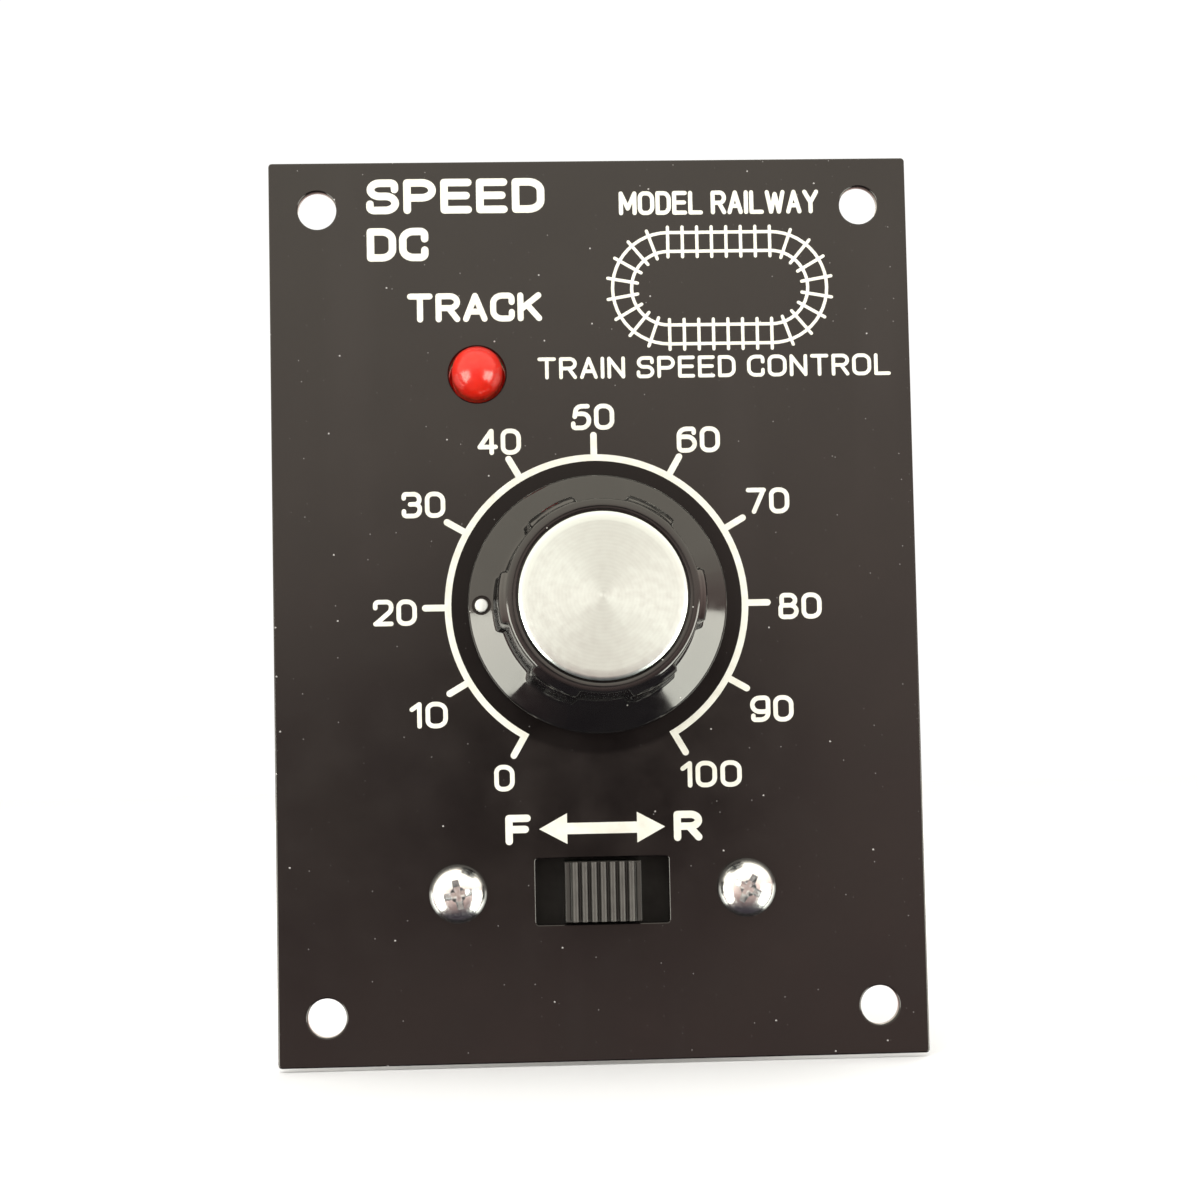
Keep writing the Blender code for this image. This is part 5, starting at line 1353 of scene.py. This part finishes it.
def make_power_transistor():
    side = [(7.6, 20.6), (8.3, 20.2), (12.0, 20.2), (12.0, 29.2), (8.3, 29.2), (7.6, 28.8)]
    body = eased(along_z(side, 5.0), 0.15)
    ejector = moved(rod(0.8, -0.2, 0.15, 24), (7.6, 22.4, 0), about("Z", 90))
    body = moved(cut(body, ejector), (0, 0, -1))
    add_piece("transistor_body", body, "epoxy", ["power_transistor"])
    tab = block((10.75, 28.6, -4.8), (11.95, 35.6, 4.8), 0.12)
    notches = [block((10, 31.0, z - 0.7), (13, 32.2, z + 0.7)) for z in (-4.8, 4.8)]
    tab = moved(cut(tab, bore(11.3, 32.6, 0), *notches), (0, 0, -1))
    add_piece("transistor_tab", tab, "steel")
    leads = []
    for step in STEPS:
        z = -1.0 + step
        edge = [(20.4, 0.6), (18.2, 0.6), (17.8, 0.38), (LEAD_END, 0.38)]
        lead = [(y, z - half) for y, half in edge] + [(y, z + half) for y, half in edge[::-1]]
        leads.append(moved(along_x(lead, 0.25), (9.65, 0, 0)))
    add_piece("transistor_leads", gathered(*leads), "steel")


def make_bridge():
    side = [(-7.3, 18.2), (7.3, 18.2), (7.3, 26.0), (4.9, 28.4), (-7.3, 28.4)]
    body = eased(along_z(side, 2.0), 0.22)
    add_piece("bridge_body", moved(body, (11, 0, 19)), "epoxy", ["bridge_rectifier"])
    marks = []
    for x, shape in ((-5.7, "plus"), (5.7, "minus"), (-1.9, "wave"), (1.9, "wave")):
        y, low, high = 20.0, 16.965, 17.02
        if shape == "wave":
            angles = [math.radians(30 * i) for i in range(13)]
            left = 11 + x - 0.7
            path = [(left + 0.7 * a / math.pi, y + 0.3 * math.sin(a), 16.99) for a in angles]
            marks.append(swept(path, rounded(0.11, 0.025, 0.01, steps=1), (0, 0, 1)))
            continue
        bars = [block((11 + x - 0.7, y - 0.12, low), (11 + x + 0.7, y + 0.12, high))]
        if shape == "plus":
            upright = block((11 + x - 0.12, y - 0.7, low), (11 + x + 0.12, y + 0.7, high))
            bars = [join(bars[0], upright)]
        marks += bars
    add_piece("bridge_marks", gathered(*marks), "legend")
    leads = [
        block((10.6 + step, LEAD_END, 18.6), (11.4 + step, 18.5, 19.4), 0.12)
        for step in BRIDGE_STEPS
    ]
    add_piece("bridge_leads", gathered(*leads), "steel")


# ---------------------------------------------------------------- capacitors and small parts

def can_capacitor(name, node, radius, height, x, z, lead):
    """A sleeved electrolytic can with a rolled groove, a scored top and a stripe."""
    top = REAR + height
    groove = REAR + 0.12 * height
    sleeve = [(radius - 0.55, REAR + 0.02), (radius - 0.2, REAR), (radius - 0.04, REAR + 0.12),
              (radius, REAR + 0.35)]
    for i in range(9):
        share = i / 8
        sink = 0.5 - 0.5 * math.cos(2 * math.pi * share)
        sleeve.append((radius - 0.07 * radius * sink, groove + (share - 0.5) * 0.09 * height))
    sleeve += [(radius, top - 0.5), (radius - 0.12, top - 0.18), (radius - 0.35, top - 0.02),
               (radius - 0.55, top), (radius - 0.7, top - 0.12), (radius - 0.7, REAR + 0.3)]
    add_piece(f"{name}_sleeve", moved(turned(sleeve, 72, True), (x, 0, z)), "sleeve", [node])
    edge = radius - 0.65
    lid = turned([(0, top - 0.14), (edge - 0.3, top - 0.14), (edge, top - 0.2), (edge, top - 1.5),
                  (0, top - 1.5)], 64)
    scores = []
    for turn in (0, 60, 120):
        score = extruded([(-0.09, 0, -0.8 * edge), (0, -0.12, -0.8 * edge),
                          (0.09, 0, -0.8 * edge)], (0, 0, 1.6 * edge))
        scores.append(moved(score, (0, top - 0.139, 0), about("Y", turn)))
    add_piece(f"{name}_lid", moved(cut(lid, *scores), (x, 0, z)), "can_top")
    bung = rod(edge - 0.1, REAR + 0.25, REAR + 1.2, 48)
    add_piece(f"{name}_bung", moved(bung, (x, 0, z)), "rubber")

    def marking(half, rise, sink, steps, low_y, high_y):
        """A thin patch on the can's side."""
        outline = arc(radius + rise, -half, half, steps) + arc(radius - sink, half, -half, steps)
        return moved(prism(outline, low_y, high_y), (x, 0, z), about("Y", 140))

    stripe = marking(24, 0.03, 0.06, 16, REAR + 0.19 * height, top - 0.6)
    add_piece(f"{name}_stripe", stripe, "stripe")
    count = max(2, int(height / 4.5))
    lows = [REAR + (0.28 + 0.6 * i / count) * height for i in range(count)]
    dashes = [marking(9, 0.05, 0.02, 6, low, low + 0.55) for low in lows]
    add_piece(f"{name}_minus_signs", gathered(*dashes), "sleeve")
    add_leads(name, [(x - lead, z), (x + lead, z)], REAR + 0.5)


def make_film_capacitor():
    body = block((-10.6, 17.2, -13.8), (-3.4, 23.7, -11.2), 0.75, 5)
    add_piece("film_body", body, "dipped_red", ["film_capacitor"])
    add_leads("film", [(-9.5, -12.5), (-4.5, -12.5)], 18.0)


def make_cutout():
    """A lacquered disc, thicker where it runs down over its two kinked leads."""
    half, radius, rim = 1.6, 5.0, 0.9
    profile = [(0, -half)]
    for i in range(9):
        angle = math.radians(-90 + 22.5 * i)
        side = -1 if i < 4 else 1
        y = side * (half - rim) + rim * math.sin(angle)
        profile.append((radius - rim + rim * math.cos(angle), y))
    profile.append((0, half))
    disc_shape = moved(turned(profile, 64), turn=about("Z", 90))
    neck = [(0, -6.2), (0.4, -6.1), (0.75, -5.0), (0.85, -3.0), (0, -3.0)]
    necks = [moved(turned(neck, 24), (0, 0, z)) for z in (-2.5, 2.5)]
    body = moved(join(disc_shape, *necks), (-17, 24.2, -1.5))
    add_piece("cutout_disc", body, "dipped_yellow", ["overload_cutout"])
    add_leads("cutout", [(-17, -4.0), (-17, 1.0)], 19.6, (1, 0, 0))


def make_op_amp():
    """A dual in-line body with drafted sides, a notch, a dot and eight shouldered pins."""
    side = [(-3.05, 17.0), (-3.2, 18.6), (-3.2, 18.85), (-2.85, 20.3), (2.85, 20.3), (3.2, 18.85),
            (3.2, 18.6), (3.05, 17.0)]
    body = eased(along_z(side, 4.8), 0.08, 1)
    notch = moved(rod(0.75, 19.8, 21), (0, 0, 4.8))
    spot = moved(rod(0.4, 20.15, 21, 24), (2.0, 0, 3.6))
    add_piece("amplifier_body", moved(cut(body, notch, spot), (-4, 0, 3)), "epoxy", ["op_amp"])
    pins = []
    for edge in (-1, 1):
        start, x = -4.0 + edge * 2.9, -4.0 + edge * 3.5
        for z in AMPLIFIER_ROWS:
            path = [(start, 18.6, z), (x, 18.6, z), (x, 17.1, z)]
            wide = strip(path, 1.3, 0.26, (0, 0, 1), 0.25)
            thin = strip([(x, 17.3, z), (x, LEAD_END, z)], 0.5, 0.26, (0, 0, 1))
            pins.append(join(wide, thin))
    add_piece("amplifier_pins", gathered(*pins), "steel")


def small_transistor(name, x, z):
    body = eased(prism(arc(2.4, -40, 220, 32), 19.2, 24.0), 0.2)
    add_piece(f"{name}_body", moved(body, (x, 0, z)), "epoxy", [name])
    leads = [
        strip([(x + step, LEAD_END, z), (x + step, 19.6, z)], 0.44, 0.44, (0, 0, 1))
        for step in HALF_STEPS
    ]
    add_piece(f"{name}_leads", gathered(*leads), "steel")


def axial_part(node, x, z, height, profile, look, bands):
    """A small part lying along X, its bands, and its leads bent down through the board."""
    y = REAR + height

    def placed(bm):
        return moved(bm, (x, y, z), about("Z", 90))

    add_piece(f"{node}_body", placed(turned(profile, 40)), look, [node])
    for number, (place, width, radius, finish) in enumerate(bands, 1):
        ring = [(radius - 0.08, place), (radius, place), (radius + 0.025, place + 0.03),
                (radius + 0.025, place + width - 0.03), (radius, place + width),
                (radius - 0.08, place + width)]
        add_piece(f"{node}_band_{number}", placed(turned(ring, 40, True)), finish)
    leads = []
    inner = max(p[1] for p in profile) - 0.3
    for side in (-1, 1):
        foot = x + side * AXIAL_REACH
        path = [(x + side * inner, y, z), (foot, y, z), (foot, LEAD_END, z)]
        leads.append(wire(path, 0.3, (0, 0, 1), 0.7))
    add_piece(f"{node}_leads", gathered(*leads), "solder")


def make_axial_parts():
    half = 3.2
    bulb = [(0, -half), (0.7, -half), (1.0, -3.05), (1.2, -2.75), (1.25, -2.4), (1.22, -2.0),
            (1.08, -1.6), (1.05, -1.3)]
    resistor = bulb + [(r, -p) for r, p in bulb[::-1]]
    codes = (
        ("band_brown", "band_black", "band_red"),
        ("band_red", "band_red", "band_brown"),
        ("band_brown", "band_black", "band_brown"),
    )
    for number, (code, z) in enumerate(zip(codes, RESISTOR_ROWS), 1):
        bands = [(-2.65, 0.45, 1.245, code[0]), (-1.1, 0.42, 1.05, code[1]),
                 (-0.2, 0.42, 1.05, code[2]), (2.2, 0.45, 1.245, "band_gold")]
        axial_part(f"resistor_{number}", RESISTOR_X, z, 1.7, resistor, "lacquer", bands)
    half = 2.6
    diode = [(0, -half), (1.0, -half), (1.27, -half + 0.1), (1.35, -half + 0.35),
             (1.35, half - 0.35), (1.27, half - 0.1), (1.0, half), (0, half)]
    for number, z in enumerate(DIODE_ROWS, 1):
        bands = [(1.2, 0.7, 1.35, "band_silver")]
        axial_part(f"diode_{number}", DIODE_X, z, 1.8, diode, "epoxy", bands)


# ---------------------------------------------------------------- assembly

scene.view_settings.view_transform = "Standard"
place_camera()
light_room()
lay_floor()
light_object()

make_panel()
make_dial()
make_lettering()
make_track_loop()
make_knob()
make_lamp()
make_slider()
make_switch()
make_potentiometer()
make_board()
make_terminals()
make_heat_sink()
make_power_transistor()
make_bridge()
can_capacitor("smoothing", "smoothing_capacitor", 6.25, 20.0, -14.5, 13.5, 2.5)
can_capacitor("timing", "timing_capacitor", 2.5, 11.0, -18.5, -12.5, 1.0)
make_film_capacitor()
make_cutout()
make_op_amp()
small_transistor("driver_transistor", 3.5, 10.5)
small_transistor("sensing_transistor", 2.5, -9.0)
make_axial_parts()
